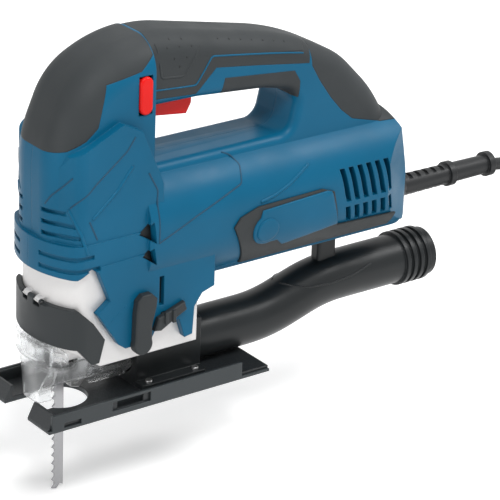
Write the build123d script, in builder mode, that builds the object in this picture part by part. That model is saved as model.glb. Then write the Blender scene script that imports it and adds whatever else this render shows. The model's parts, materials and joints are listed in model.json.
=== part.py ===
"""Corded D-handle jigsaw with a gear case, scotch-yoke drive, orbital lever, tilting base and dust tube.

Frame: X runs rearwards along the cut, -Y is the user's left, Z is up. The origin lies on the underside of
the sole, at the middle of its length and width. Millimetres.
"""

import os
from math import atan, cos, pi, radians, sin, sqrt, tan

from build123d import *

os.makedirs("parts", exist_ok=True)


# ---------------------------------------------------------------- driving dimensions
seat_gap = 0.2  # between pieces that are screwed or clipped together
run_gap = 0.3  # between curved faces that move past each other
fit_gap = 0.05  # radial clearance of a running or locating fit

# sole
sole_length = 146.0
sole_width = 66.0
shoe_thickness = 1.5
plate_thickness = 1.5
rail_height = 10.0
rail_length = 125.0
nose_length = 7.0
slot_half_width = 11.5
slot_end_radius = 16.0
blade_setback = 27.0  # blade axis behind the front edge of the sole

# tilt segment: a half-moon on the base that turns in a saddle under the gear case
segment_radius = 34.9
segment_half_width = 15.0
segment_setback = 41.0  # front of the segment behind the blade axis
segment_length = 43.0
segment_flange = 3.5
duct_radius = 11.0
duct_z = 18.0

# dust tube
tube_radius = 14.5
tube_wall = 2.5
tube_rise = 12.5
tube_straight = 52.0
tube_ramp = 40.0
tube_tail = 78.0
tube_bend_radius = 90.0
outlet_rib_count = 4
outlet_rib_pitch = 5.0
outlet_rib_height = 1.6
outlet_radius = 13.0  # seat of a vacuum hose's nozzle
outlet_depth = 24.0

# gear case
case_half_width = 27.0
case_front = 15.0  # ahead of the blade axis
case_back = 72.0  # behind the blade axis
case_bottom = 29.0
case_top = 112.0
case_wall = 3.0
case_corner = 6.0  # where the curved nose meets the sides, ahead of the blade axis
case_corner_radius = 8.0
chamber_back = 43.0  # behind the blade axis

# motor and gears
motor_z = 97.0
pinion_teeth = 8
gear_teeth = 48
gear_module = 1.0
gear_face = 8.0
gear_setback = 20.0  # front face of the gear behind the blade axis
shaft_radius = 4.0
stud_radius = 5.0
stroke = 26.0
crank_pin_radius = 3.0
crank_roller_radius = 5.0
core_radius = 18.5
core_length = 46.0
stator_radius = 30.0
stator_bore = 19.2
commutator_radius = 11.5
commutator_length = 15.0
fan_radius = 27.0
fan_blades = 11

# blade and its drive
plunger_radius = 4.5
clamp_radius = 6.5
clamp_height = 16.0
clamp_bottom = 19.0  # the blade drive is drawn at the bottom of its stroke
stroke_gap = 0.5  # ends of the stroke to the bushes
bush_wall = 2.5
bush_length = 7.5
collar_wall = 2.5
collar_height = 7.0
blade_reach = 54.0  # below the sole
blade_width = 5.4
blade_thickness = 1.2
tooth_pitch = 5.0
tooth_height = 1.7

# housing shells
head_half_width = 30.0
head_front = 17.5  # ahead of the blade axis
barrel_half_width = 34.0
barrel_half_height = 37.0
barrel_corner = 32.0
motor_bore = 31.2
handle_half_width = 19.0
cap_half_width = 25.0
shell_edge = 13.0
skirt_half_width = 31.5
grip_depth = 2.2

# cord
cord_diameter = 7.5
cord_z = 76.0
boot_length = 76.0
floor_z = -54.0

# ---------------------------------------------------------------- derived places
sole_front = -sole_length / 2
blade_x = sole_front + blade_setback
plate_top = shoe_thickness + plate_thickness
pivot_z = plate_top
segment_front = blade_x + segment_setback
segment_back = segment_front + segment_length
saddle_radius = segment_radius + run_gap
gear_centre_distance = gear_module * (pinion_teeth + gear_teeth) / 2
gear_z = motor_z - gear_centre_distance
gear_x = blade_x + gear_setback
crank_throw = stroke / 2
yoke_z = gear_z - crank_throw
clamp_top = clamp_bottom + clamp_height
lower_bush_z = clamp_top + stroke + stroke_gap
collar_z = lower_bush_z + bush_length + stroke_gap
upper_bush_z = collar_z + collar_height + stroke + stroke_gap
plunger_top = upper_bush_z + bush_length + 2


def save(piece, name):
    """Label a finished piece and write it as its own STEP file."""
    piece.part.label = name
    export_step(piece.part, f"parts/{name}.step")


def side_prism(points, half_width, offset_y=0.0):
    """A prism across the tool whose outline in the XZ plane runs through the points."""
    with BuildPart() as prism:
        with BuildSketch(Plane.XZ.offset(-offset_y)):
            with BuildLine():
                Polyline(*points, close=True)
            make_face()
        extrude(amount=half_width, both=True)
    return prism.part


def box_between(low, high):
    """A box from its lowest to its highest corner."""
    with BuildPart() as box:
        with Locations(tuple((a + b) / 2 for a, b in zip(low, high))):
            Box(*(b - a for a, b in zip(low, high)))
    return box.part


def nose_prism(front, corner, half_width, rear, low, high, corner_radius, grow=0.0):
    """A prism whose plan has a broad arc in front, rounded into straight sides; grow widens it all round."""
    with BuildPart() as prism:
        with BuildSketch(Plane.XY.offset(low)):
            with BuildLine():
                ThreePointArc((corner, -half_width), (front, 0), (corner, half_width))
                Polyline((corner, half_width), (rear, half_width), (rear, -half_width), (corner, -half_width))
            face = make_face()
            fillet([v for v in face.vertices() if v.X < corner + 1], radius=corner_radius)
            if grow:
                offset(amount=grow)
        extrude(amount=high - low)
    return prism.part


def tooth_points(teeth, module, addendum, dedendum, thinning):
    """Outline of an involute gear, as a closed list of points round the origin."""
    pitch_radius = module * teeth / 2
    base_radius = pitch_radius * cos(radians(20))
    tip_radius = pitch_radius + addendum * module
    root_radius = pitch_radius - dedendum * module

    def involute(radius):
        """Angle that the flank has turned at a radius."""
        if radius <= base_radius:
            return 0.0
        ratio = sqrt((radius / base_radius) ** 2 - 1)
        return ratio - atan(ratio)

    half_tooth = pi / (2 * teeth) - thinning / (2 * pitch_radius) + involute(pitch_radius)
    flank_start = max(root_radius, base_radius)
    steps = 3
    radii = [root_radius] if root_radius < flank_start else []
    radii += [flank_start + (tip_radius - flank_start) * k / steps for k in range(steps + 1)]
    points = []
    for tooth in range(teeth):
        centre = 2 * pi * tooth / teeth
        for radius in radii:
            angle = centre - half_tooth + involute(radius)
            points.append((radius * cos(angle), radius * sin(angle)))
        for radius in reversed(radii):
            angle = centre + half_tooth - involute(radius)
            points.append((radius * cos(angle), radius * sin(angle)))
    return points


# ---------------------------------------------------------------- base: plate, shoe, segment, screws
rail_start = sole_front + nose_length - 5
rail_end = rail_start + rail_length
flange_outer = sole_width / 2 - shoe_thickness
flange_top = rail_height - 0.5
guide_x = blade_x + 26
guide_length = 25.0
guide_low = 3.0
guide_high = 8.5
guide_edge = 0.6  # the plate's opening is smaller than the shoe's
notch_x = blade_x - 12
notch_length = 11.0
screw_xs = (segment_front + 6, segment_back - 6)
screw_y = segment_half_width + 3.5
screw_radius = 2.0
base_screw_places = [(x, side * screw_y) for x in screw_xs for side in (-1, 1)]

with BuildPart() as sole_slot:
    with BuildSketch():
        with Locations(((sole_front + blade_x) / 2 - 1, 0)):
            Rectangle(blade_setback + 2, 2 * slot_half_width)
        with Locations((blade_x, 0)):
            Circle(slot_end_radius)
    extrude(amount=rail_height)

with BuildPart() as base_plate:
    with BuildSketch(Plane.XY.offset(shoe_thickness)):
        with Locations((nose_length / 2, 0)):
            Rectangle(sole_length - nose_length, 2 * flange_outer)
        with Locations(*base_screw_places):
            Circle(screw_radius + fit_gap, mode=Mode.SUBTRACT)
    extrude(amount=plate_thickness)
    # turned-up side flanges
    with BuildSketch(Plane.XY.offset(shoe_thickness)):
        flange_middle = flange_outer - plate_thickness / 2
        for side in (-1, 1):
            with Locations(((sole_front + nose_length + rail_end) / 2, side * flange_middle)):
                Rectangle(rail_end - sole_front - nose_length, plate_thickness)
    extrude(amount=flange_top - shoe_thickness)
    # turned-up nose, like the tip of a ski
    with BuildSketch(Plane.XZ):
        with BuildLine():
            Polyline(
                (sole_front, shoe_thickness),
                (sole_front + nose_length + 1, shoe_thickness),
                (sole_front + nose_length + 1, plate_top),
                (sole_front + nose_length - 2, plate_top),
                (sole_front + nose_length - 1.5, flange_top),
                (sole_front + nose_length - 3, flange_top),
                close=True,
            )
        make_face()
    extrude(amount=flange_outer, both=True)
    add(sole_slot.part, mode=Mode.SUBTRACT)
    # the parallel guide's rod passes through both flanges
    with Locations((guide_x, 0, (guide_low + guide_high) / 2)):
        Box(guide_length - 8, 2 * sole_width, guide_high - guide_low - 2 * guide_edge + 0.9, mode=Mode.SUBTRACT)

with BuildPart() as glide_shoe:
    with BuildSketch():
        Rectangle(sole_length, sole_width)
        with Locations(*base_screw_places):
            Circle(screw_radius + 2, mode=Mode.SUBTRACT)
    extrude(amount=shoe_thickness)
    with BuildSketch(Plane.XY.offset(shoe_thickness)):
        for side in (-1, 1):
            with Locations(((rail_start + rail_end) / 2, side * (sole_width - shoe_thickness) / 2)):
                Rectangle(rail_length, shoe_thickness)
    extrude(amount=rail_height - shoe_thickness)
    add(sole_slot.part, mode=Mode.SUBTRACT)
    # openings in the side lips: the guide slot and the front notch
    with Locations((guide_x, 0, (guide_low + guide_high) / 2)):
        Box(guide_length, 2 * sole_width, guide_high - guide_low, mode=Mode.SUBTRACT)
    with Locations((notch_x, 0, plate_top)):
        Box(notch_length, 2 * sole_width, 2 * plate_thickness, mode=Mode.SUBTRACT)

with BuildPart() as tilt_segment:
    with BuildSketch(Plane.YZ.offset(segment_front)):
        with Locations((0, pivot_z)):
            Circle(segment_radius)
        with Locations((0, pivot_z + segment_radius / 2)):
            Rectangle(2 * segment_half_width, segment_radius, mode=Mode.INTERSECT)
        with Locations((0, duct_z)):
            Circle(duct_radius, mode=Mode.SUBTRACT)
    extrude(amount=segment_length)
    # foot flange, screwed to the plate
    with BuildSketch(Plane.XY.offset(plate_top)):
        with Locations(((segment_front + segment_back) / 2, 0)):
            RectangleRounded(segment_length, 2 * (screw_y + 4), 3)
        with Locations(*base_screw_places):
            Circle(screw_radius + fit_gap, mode=Mode.SUBTRACT)
    extrude(amount=segment_flange)

with BuildPart() as base_screws:
    with BuildSketch(Plane.XY.offset(0.3)):
        with Locations(*base_screw_places):
            Circle(screw_radius + 1.6)
    extrude(amount=shoe_thickness - 0.3)
    with BuildSketch(Plane.XY.offset(shoe_thickness)):
        with Locations(*base_screw_places):
            Circle(screw_radius)
    extrude(amount=plate_thickness + segment_flange + 1)

# ---------------------------------------------------------------- dust tube
tube_front = segment_back + seat_gap
tube_z = duct_z
outlet_z = tube_z + tube_rise
tube_points = [
    (tube_front, tube_z),
    (tube_front + tube_straight, tube_z),
    (tube_front + tube_straight + tube_ramp, outlet_z),
    (tube_front + tube_straight + tube_ramp + tube_tail, outlet_z),
]
tube_end = tube_points[-1][0]
peg_x = tube_front + tube_straight + tube_ramp + 4
peg_top = motor_z - barrel_half_height - 0.5

with BuildPart() as dust_tube:
    with BuildLine(Plane.XZ) as tube_path:
        FilletPolyline(*tube_points, radius=tube_bend_radius)
    with BuildSketch(Plane.YZ.offset(tube_front)):
        with Locations((0, tube_z)):
            Circle(tube_radius)
    sweep(path=tube_path.line)
    for rib in range(outlet_rib_count):
        with BuildSketch(Plane.YZ.offset(tube_end - 2.5 - (rib + 1) * outlet_rib_pitch)):
            with Locations((0, outlet_z)):
                Circle(tube_radius + outlet_rib_height)
        extrude(amount=outlet_rib_pitch / 2)
    with BuildSketch(Plane.XY.offset(outlet_z)):
        with Locations((peg_x, 0)):
            RectangleRounded(13, 8, 2)
    extrude(amount=peg_top - outlet_z)
    with BuildSketch(Plane.YZ.offset(tube_front)):
        with Locations((0, tube_z)):
            Circle(tube_radius - tube_wall)
    sweep(path=tube_path.line, mode=Mode.SUBTRACT)
    with BuildSketch(Plane.YZ.offset(tube_end - outlet_depth)):
        with Locations((0, outlet_z)):
            Circle(outlet_radius)
    extrude(amount=outlet_depth, mode=Mode.SUBTRACT)

# ---------------------------------------------------------------- gear case
case_low_x = blade_x - case_front
case_high_x = blade_x + case_back
cavity_floor = gear_z - gear_module * (gear_teeth / 2 + 1) - 1.5
case_shelf = motor_z - motor_bore - 4.2  # top of the case under the motor
fork_carrier_half_width = 13.0
fork_pin_x = blade_x + 14.0
fork_pin_z = 34.0
fork_pin_radius = 1.8
fork_pin_half_length = 10.5
throat_roof = 4.3



def case_nose(rear, low, high, grow=0.0):
    """The gear case's plan as a prism, from its curved nose back to a rear face."""
    corner = blade_x - case_corner
    return nose_prism(case_low_x, corner, case_half_width, rear, low, high, case_corner_radius, grow)


with BuildPart() as case_casting:
    add(case_nose(case_high_x, 0, case_top))
    # open below the case floor, higher at the nose where the blade guard sits
    with BuildSketch(Plane.XZ):
        with BuildLine():
            Polyline(
                (case_low_x - 2, -1),
                (case_high_x + 2, -1),
                (case_high_x + 2, case_bottom),
                (blade_x + 9, case_bottom),
                (blade_x - 6, case_bottom + 10),
                (case_low_x - 2, case_bottom + 15),
                close=True,
            )
        make_face()
    extrude(amount=2 * case_half_width, both=True, mode=Mode.SUBTRACT)
    # saddle for the tilt segment
    with BuildSketch(Plane.YZ.offset(case_low_x - 2)):
        with Locations((0, pivot_z)):
            Circle(saddle_radius)
    extrude(amount=case_high_x - case_low_x + 4, mode=Mode.SUBTRACT)
    # gear chamber
    cavity_back = blade_x + chamber_back + case_wall
    add(case_nose(cavity_back, cavity_floor, case_top + 1, -case_wall), mode=Mode.SUBTRACT)
    with BuildSketch(Plane.YZ.offset(gear_x - 1)):
        with Locations((0, gear_z)):
            Circle(gear_module * (gear_teeth / 2 + 1) + 0.6)
    extrude(amount=gear_face + 2, mode=Mode.SUBTRACT)
    # low behind the chamber, under the motor
    low = (blade_x + chamber_back, -case_half_width - 1, case_shelf)
    add(box_between(low, (case_high_x + 1, case_half_width + 1, case_top + 1)), mode=Mode.SUBTRACT)
    # carrier of the roller fork, between the walls of the blade guard
    add(
        box_between(
            (blade_x - 9, -fork_carrier_half_width, case_bottom + 0.5),
            (blade_x + 24, fork_carrier_half_width, cavity_floor),
        )
    )
    # throat for the roller fork, and the taller one that the blade clamp rises into
    add(
        box_between((blade_x - 10, -9, case_bottom - 2), (blade_x + 20, 9, cavity_floor - throat_roof)),
        mode=Mode.SUBTRACT,
    )
    add(box_between((blade_x - 10, -9, case_bottom - 2), (blade_x + 9, 9, lower_bush_z)), mode=Mode.SUBTRACT)
    with BuildSketch(Plane.XZ.offset(-fork_pin_half_length)):
        with Locations((fork_pin_x, fork_pin_z)):
            Circle(fork_pin_radius + fit_gap)
    extrude(amount=2 * fork_pin_half_length, mode=Mode.SUBTRACT)

# ---------------------------------------------------------------- plunger, bushes, yoke, clamp, blade
bridge_back = blade_x + plunger_radius + bush_wall + 0.4
yoke_front = bridge_back + run_gap
yoke_back = yoke_front + 4.8
yoke_slot = 2 * crank_roller_radius + 0.3
yoke_height = yoke_slot + 3.0
yoke_half_width = crank_throw + crank_roller_radius + 2.0
yoke_neck = 9.0
crank_roller_front = yoke_back + run_gap

with BuildPart() as bored_case:
    add(case_casting.part)
    # bridges across the chamber that hold the plunger's bushes
    for bush_z in (lower_bush_z, upper_bush_z):
        add(case_nose(bridge_back + 1, bush_z, bush_z + bush_length, -1))
        with BuildSketch(Plane.XY.offset(bush_z - 1)):
            with Locations((blade_x, 0)):
                Circle(plunger_radius + bush_wall)
        extrude(amount=bush_length + 2, mode=Mode.SUBTRACT)


def bush(low_z):
    """A plain bearing bush round the plunger."""
    with BuildPart() as ring:
        with BuildSketch(Plane.XY.offset(low_z)):
            with Locations((blade_x, 0)):
                Circle(plunger_radius + bush_wall - 0.02)
                Circle(plunger_radius + fit_gap, mode=Mode.SUBTRACT)
        extrude(amount=bush_length)
    return ring


plunger_bush_lower = bush(lower_bush_z)
plunger_bush_upper = bush(upper_bush_z)

with BuildPart() as plunger:
    with BuildSketch(Plane.XY.offset(clamp_top)):
        with Locations((blade_x, 0)):
            Circle(plunger_radius)
    extrude(amount=plunger_top - clamp_top)
    chamfer(plunger.edges().filter_by(GeomType.CIRCLE).sort_by(Axis.Z)[-1], 1)

with BuildPart() as yoke:
    # collar on the plunger, between the bushes
    collar_low = (blade_x - plunger_radius - collar_wall, -yoke_neck, collar_z)
    add(box_between(collar_low, (yoke_back, yoke_neck, collar_z + collar_height)))
    # plate behind the lower bush, down to a cross bar with a slot for the crank roller
    add(box_between((yoke_front, -yoke_neck, yoke_z), (yoke_back, yoke_neck, collar_z + 1)))
    add(
        box_between(
            (yoke_front, -yoke_half_width, yoke_z - yoke_height / 2),
            (yoke_back, yoke_half_width, yoke_z + yoke_height / 2),
        )
    )
    add(
        box_between(
            (yoke_front + 1.8, -crank_throw - crank_roller_radius, yoke_z - yoke_slot / 2),
            (yoke_back + 1, crank_throw + crank_roller_radius, yoke_z + yoke_slot / 2),
        ),
        mode=Mode.SUBTRACT,
    )
    with BuildSketch(Plane.XY.offset(collar_z)):
        with Locations((blade_x, 0)):
            Circle(plunger_radius + fit_gap)
    extrude(amount=collar_height, mode=Mode.SUBTRACT)

blade_slot_depth = 13.0
sleeve_wall = 1.6
with BuildPart() as blade_clamp:
    with BuildSketch(Plane.XY.offset(clamp_bottom)):
        with Locations((blade_x, 0)):
            Circle(clamp_radius)
    extrude(amount=clamp_height)
    chamfer(blade_clamp.edges().filter_by(GeomType.CIRCLE), 1)
    # slot that takes the blade's shank, open at the bottom
    add(
        box_between(
            (blade_x - blade_width / 2 - fit_gap, -blade_thickness / 2 - fit_gap, clamp_bottom - 1),
            (blade_x + blade_width / 2 + fit_gap, blade_thickness / 2 + fit_gap, clamp_bottom + blade_slot_depth),
        ),
        mode=Mode.SUBTRACT,
    )

with BuildPart() as clamp_sleeve:
    # knurled release ring round the clamp
    with BuildSketch(Plane.XY.offset(clamp_bottom + 4)):
        with Locations((blade_x, 0)):
            Circle(clamp_radius + sleeve_wall)
            Circle(clamp_radius + fit_gap, mode=Mode.SUBTRACT)
    extrude(amount=9)

tooth_count = int((blade_reach + 14) / tooth_pitch)
blade_back = blade_x + 3.0
blade_front = blade_back - blade_width
blade_top = clamp_bottom + blade_slot_depth - 0.5
blade_profile = [(blade_back, blade_top), (blade_back, -blade_reach + 1.5)]
blade_profile += [(blade_back - 2.0, -blade_reach + 2.6), (blade_front + 1.2, -blade_reach)]
for tooth in range(tooth_count):
    tip_z = -blade_reach + 0.6 + tooth * tooth_pitch
    blade_profile.append((blade_front - tooth_height, tip_z))
    blade_profile.append((blade_front, tip_z + 0.35 * tooth_pitch))
    blade_profile.append((blade_front, tip_z + 0.7 * tooth_pitch))
blade_profile += [(blade_front, clamp_bottom - 1), (blade_x - blade_width / 2, clamp_bottom)]
blade_profile += [(blade_x - blade_width / 2, blade_top)]
with BuildPart() as saw_blade:
    add(side_prism(blade_profile, blade_thickness / 2))
    # the shank in the clamp is as wide as its slot
    add(
        box_between(
            (blade_x + blade_width / 2, -blade_thickness, clamp_bottom),
            (blade_back + 1, blade_thickness, blade_top + 1),
        ),
        mode=Mode.SUBTRACT,
    )

# ---------------------------------------------------------------- roller fork and guide roller
roller_radius = 4.4
roller_half_width = 2.8
roller_pin_radius = 1.5
roller_x = blade_back + roller_radius + run_gap
roller_z = 12.0
fork_half_width = 5.4
fork_gap_half = roller_half_width + run_gap
clamp_clear_x = blade_x + clamp_radius + sleeve_wall + 0.6
fork_profile = [
    (roller_x - 3.2, roller_z - 3.0),
    (roller_x + 2.0, roller_z - 4.4),
    (blade_x + 13.4, roller_z - 1.0),
    (fork_pin_x + 3.2, fork_pin_z - 3),
    (fork_pin_x + 3.2, fork_pin_z + 3.2),
    (fork_pin_x - 3.2, fork_pin_z + 3.2),
    (clamp_clear_x, fork_pin_z),
    (clamp_clear_x, clamp_bottom - 1.0),
    (roller_x - 3.2, clamp_bottom - 1.6),
]
with BuildPart() as roller_fork:
    add(side_prism(fork_profile, fork_half_width))
    # the gap between the arms, open in front and below
    add(
        box_between(
            (blade_x - 10, -fork_gap_half, 0),
            (roller_x + roller_radius + run_gap, fork_gap_half, roller_z + roller_radius + run_gap),
        ),
        mode=Mode.SUBTRACT,
    )
    add(
        box_between(
            (blade_x - 10, -fork_gap_half, roller_z),
            (blade_back + 1.0, fork_gap_half, clamp_bottom),
        ),
        mode=Mode.SUBTRACT,
    )
    with BuildSketch(Plane.XZ.offset(-2 * fork_half_width)):
        with Locations((fork_pin_x, fork_pin_z)):
            Circle(fork_pin_radius + fit_gap)
        with Locations((roller_x, roller_z)):
            Circle(roller_pin_radius + fit_gap)
    extrude(amount=4 * fork_half_width, mode=Mode.SUBTRACT)

with BuildPart() as guide_roller:
    with BuildSketch(Plane.XZ.offset(-roller_half_width)):
        with Locations((roller_x, roller_z)):
            Circle(roller_radius)
            Circle(roller_pin_radius + fit_gap, mode=Mode.SUBTRACT)
    extrude(amount=2 * roller_half_width)
    # groove that keeps the blade's back in line
    with BuildSketch(Plane.XZ.offset(-blade_thickness)):
        with Locations((roller_x, roller_z)):
            Circle(roller_radius + 1)
            Circle(roller_radius - 0.8, mode=Mode.SUBTRACT)
    extrude(amount=2 * blade_thickness, mode=Mode.SUBTRACT)


def cross_pin(radius, x, z, half_length, middle_y=0.0):
    """A plain pin across the tool."""
    with BuildPart() as pin:
        with BuildSketch(Plane.XZ.offset(-middle_y - half_length)):
            with Locations((x, z)):
                Circle(radius)
        extrude(amount=2 * half_length)
    return pin


roller_pin = cross_pin(roller_pin_radius, roller_x, roller_z, fork_half_width)
fork_pin = cross_pin(fork_pin_radius, fork_pin_x, fork_pin_z, fork_pin_half_length - fit_gap)

# ---------------------------------------------------------------- gear, stud, crank, bearing plate
plate_x = gear_x + 16
plate_depth = 7.0
bearing_radius = 11.0
rear_bearing_radius = 9.5
bearing_width = 7.0


def disc_x(x, length, radius, bore=0.0, z=motor_z):
    """A disc or ring whose axis runs along X."""
    with BuildPart() as disc:
        with BuildSketch(Plane.YZ.offset(x)):
            with Locations((0, z)):
                Circle(radius)
                if bore:
                    Circle(bore, mode=Mode.SUBTRACT)
        extrude(amount=length)
    return disc


def gear_outline(teeth, z, turn):
    """Points of a gear's outline in the YZ plane about a height, its first tooth turned to an angle."""
    outline = tooth_points(teeth, gear_module, 0.75, 1.15, 0.16)
    return [(y * cos(turn) - w * sin(turn), y * sin(turn) + w * cos(turn) + z) for y, w in outline]


with BuildPart() as drive_gear:
    with BuildSketch(Plane.YZ.offset(gear_x)):
        with BuildLine():
            Polyline(*gear_outline(gear_teeth, gear_z, pi / 2), close=True)
        make_face()
        with Locations((0, gear_z)):
            Circle(stud_radius + fit_gap, mode=Mode.SUBTRACT)
    extrude(amount=gear_face)
    # recess round the hub on the rear face
    with BuildSketch(Plane.YZ.offset(gear_x + gear_face - 3)):
        with Locations((0, gear_z)):
            Circle(0.8 * gear_module * gear_teeth / 2)
            Circle(stud_radius + 4, mode=Mode.SUBTRACT)
    extrude(amount=3, mode=Mode.SUBTRACT)
    # hole for the crank pin
    with BuildSketch(Plane.YZ.offset(gear_x - 1)):
        with Locations((0, yoke_z)):
            Circle(crank_pin_radius + fit_gap)
    extrude(amount=6, mode=Mode.SUBTRACT)

crank_pin = disc_x(crank_roller_front, gear_x + 5 - crank_roller_front, crank_pin_radius, z=yoke_z)
crank_roller = disc_x(
    crank_roller_front,
    gear_x - crank_roller_front - run_gap,
    crank_roller_radius,
    crank_pin_radius + fit_gap,
    yoke_z,
)
gear_stud = disc_x(gear_x - 1, plate_x + plate_depth - gear_x + 1, stud_radius, z=gear_z)

plate_half_width = case_half_width - case_wall - seat_gap
plate_low = cavity_floor + seat_gap
plate_high = case_top
with BuildPart() as bearing_plate:
    with BuildSketch(Plane.YZ.offset(plate_x)):
        with Locations((0, (plate_low + plate_high) / 2)):
            Rectangle(2 * plate_half_width, plate_high - plate_low)
        with Locations((0, motor_z)):
            Circle(bearing_radius + fit_gap, mode=Mode.SUBTRACT)
        with Locations((0, gear_z)):
            Circle(stud_radius + fit_gap, mode=Mode.SUBTRACT)
    extrude(amount=plate_depth)

front_bearing = disc_x(plate_x, bearing_width, bearing_radius, shaft_radius + fit_gap)
motor_front = plate_x + plate_depth
fan_x = motor_front + 3
fan_depth = 11.0
core_x = fan_x + fan_depth + 9
commutator_x = core_x + core_length + 7
rear_bearing_x = commutator_x + commutator_length + 14
rear_bearing = disc_x(rear_bearing_x, bearing_width - 1, rear_bearing_radius, shaft_radius + fit_gap)

with BuildPart() as armature_shaft:
    with BuildSketch(Plane.YZ.offset(gear_x - 0.5)):
        with BuildLine():
            Polyline(*gear_outline(pinion_teeth, motor_z, -pi / 2 + pi / pinion_teeth), close=True)
        make_face()
    extrude(amount=gear_face + 1)
    with BuildSketch(Plane.YZ.offset(gear_x + gear_face + 0.5)):
        with Locations((0, motor_z)):
            Circle(shaft_radius)
    extrude(amount=rear_bearing_x + bearing_width - gear_x - gear_face - 0.5)

with BuildPart() as armature_core:
    slot_count = 12
    with BuildSketch(Plane.YZ.offset(core_x)):
        with Locations((0, motor_z)):
            Circle(core_radius)
            Circle(shaft_radius + fit_gap, mode=Mode.SUBTRACT)
            with PolarLocations(core_radius, slot_count):
                Rectangle(7, 2.2, mode=Mode.SUBTRACT)
    extrude(amount=core_length)

with BuildPart() as armature_windings:
    # end turns of the winding, fore and aft of the core
    for x in (core_x - 6, core_x + core_length):
        with BuildSketch(Plane.YZ.offset(x)):
            with Locations((0, motor_z)):
                Circle(core_radius - 3)
                Circle(shaft_radius + fit_gap, mode=Mode.SUBTRACT)
        extrude(amount=6)

with BuildPart() as commutator:
    with BuildSketch(Plane.YZ.offset(commutator_x)):
        with Locations((0, motor_z)):
            Circle(commutator_radius)
            Circle(shaft_radius + fit_gap, mode=Mode.SUBTRACT)
    extrude(amount=commutator_length)
    with BuildSketch(Plane.YZ.offset(commutator_x + 2)):
        with Locations((0, motor_z)):
            with PolarLocations(commutator_radius, 22):
                Rectangle(1.2, 0.5)
    extrude(amount=commutator_length, mode=Mode.SUBTRACT)

with BuildPart() as cooling_fan:
    with BuildSketch(Plane.YZ.offset(fan_x)):
        with Locations((0, motor_z)):
            Circle(fan_radius)
            Circle(shaft_radius + fit_gap, mode=Mode.SUBTRACT)
    extrude(amount=1.6)
    with BuildSketch(Plane.YZ.offset(fan_x)):
        with Locations((0, motor_z)):
            Circle(shaft_radius + 4)
            Circle(shaft_radius + fit_gap, mode=Mode.SUBTRACT)
            with PolarLocations((fan_radius + shaft_radius + 3) / 2 + 1, fan_blades):
                Rectangle(fan_radius - shaft_radius - 5, 1.4, rotation=24)
    extrude(amount=fan_depth)

with BuildPart() as stator_core:
    with BuildSketch(Plane.YZ.offset(core_x - 1)):
        with Locations((0, motor_z)):
            Circle(motor_bore - seat_gap)
            Circle(stator_bore, mode=Mode.SUBTRACT)
            # flats for the coils above and below the poles
            with PolarLocations(stator_radius - 5, 2, 90):
                Rectangle(6, 26, mode=Mode.SUBTRACT)
    extrude(amount=core_length + 2)

with BuildPart() as field_coils:
    for x in (core_x - 7.5, core_x + core_length + 1.2):
        with BuildSketch(Plane.YZ.offset(x)):
            with Locations((0, motor_z)):
                Circle(stator_radius - 2)
                Circle(stator_bore + 0.5, mode=Mode.SUBTRACT)
        extrude(amount=6.3)

brush_length = 9.0
brush_start = commutator_radius + run_gap
holder_x = commutator_x + 4.5
with BuildPart() as carbon_brushes:
    for side in (-1, 1):
        with Locations((holder_x + 4, side * (brush_start + brush_length / 2), motor_z)):
            Box(6.4, brush_length, 5)
with BuildPart() as brush_springs:
    for side in (-1, 1):
        with Locations((holder_x + 4, side * (brush_start + brush_length + 3.3), motor_z)):
            Box(4, 6, 4)
holder_start = brush_start + 1.5
holder_end = motor_bore - 0.6
with BuildPart() as brush_holders:
    for side in (-1, 1):
        with Locations((holder_x + 4, side * (holder_start + holder_end) / 2, motor_z)):
            Box(9, holder_end - holder_start, 8)
        with Locations((holder_x + 4, side * (brush_start + brush_length + 6.4) / 2, motor_z)):
            Box(6.6, brush_start + brush_length + 6.4, 5.2, mode=Mode.SUBTRACT)

# ---------------------------------------------------------------- outer form of the housing
far = 60.0  # clear of the tool on either side
spine_cut_top = 128.0
spine_cut_back = 30.0
housing_back = blade_x + 227.0
barrel_front = blade_x + 36.0
spine_low = motor_z - 34
crown_front = blade_x - 17.5
crown_corners = [
    (blade_x - 18, 154, 60),
    (blade_x - 2.5, 190, 44),
    (blade_x + 37, 210, 78),
    (blade_x + 142, 189, 150),
    (blade_x + 177.5, 170.5, 52),
    (blade_x + 207, 140.5, 88),
    (blade_x + 225.5, 85, 60),
]
opening_points = [
    (blade_x + 38, 133.5),
    (blade_x + 138, 134),
    (blade_x + 143.5, 158),
    (blade_x + 120, 163),
    (blade_x + 76, 166.5),
    (blade_x + 38, 167),
]

def rim_edges(piece, half_width, low_z):
    """Edges round a flat-sided piece's two side faces, above a height."""
    return [e for e in piece.edges() if abs(abs(e.center().Y) - half_width) < 0.01 and e.center().Z > low_z]


def crown_body(half_width, edge_radius, inset=0.0):
    """The side outline under the crown, across a half width, with its rim rounded."""
    corners = [(crown_front, spine_low)] + [(x, z) for x, z, _ in crown_corners] + [(housing_back, spine_low)]
    with BuildPart() as body:
        with BuildSketch(Plane.XZ):
            with BuildLine():
                FilletPolyline(*corners, radius=[radius for _, _, radius in crown_corners])
                Line((housing_back, spine_low), (crown_front, spine_low))
            make_face()
            if inset:
                offset(amount=-inset)
        extrude(amount=half_width, both=True)
        fillet(rim_edges(body, half_width, spine_low + inset + 1), radius=edge_radius)
    return body.part


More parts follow.
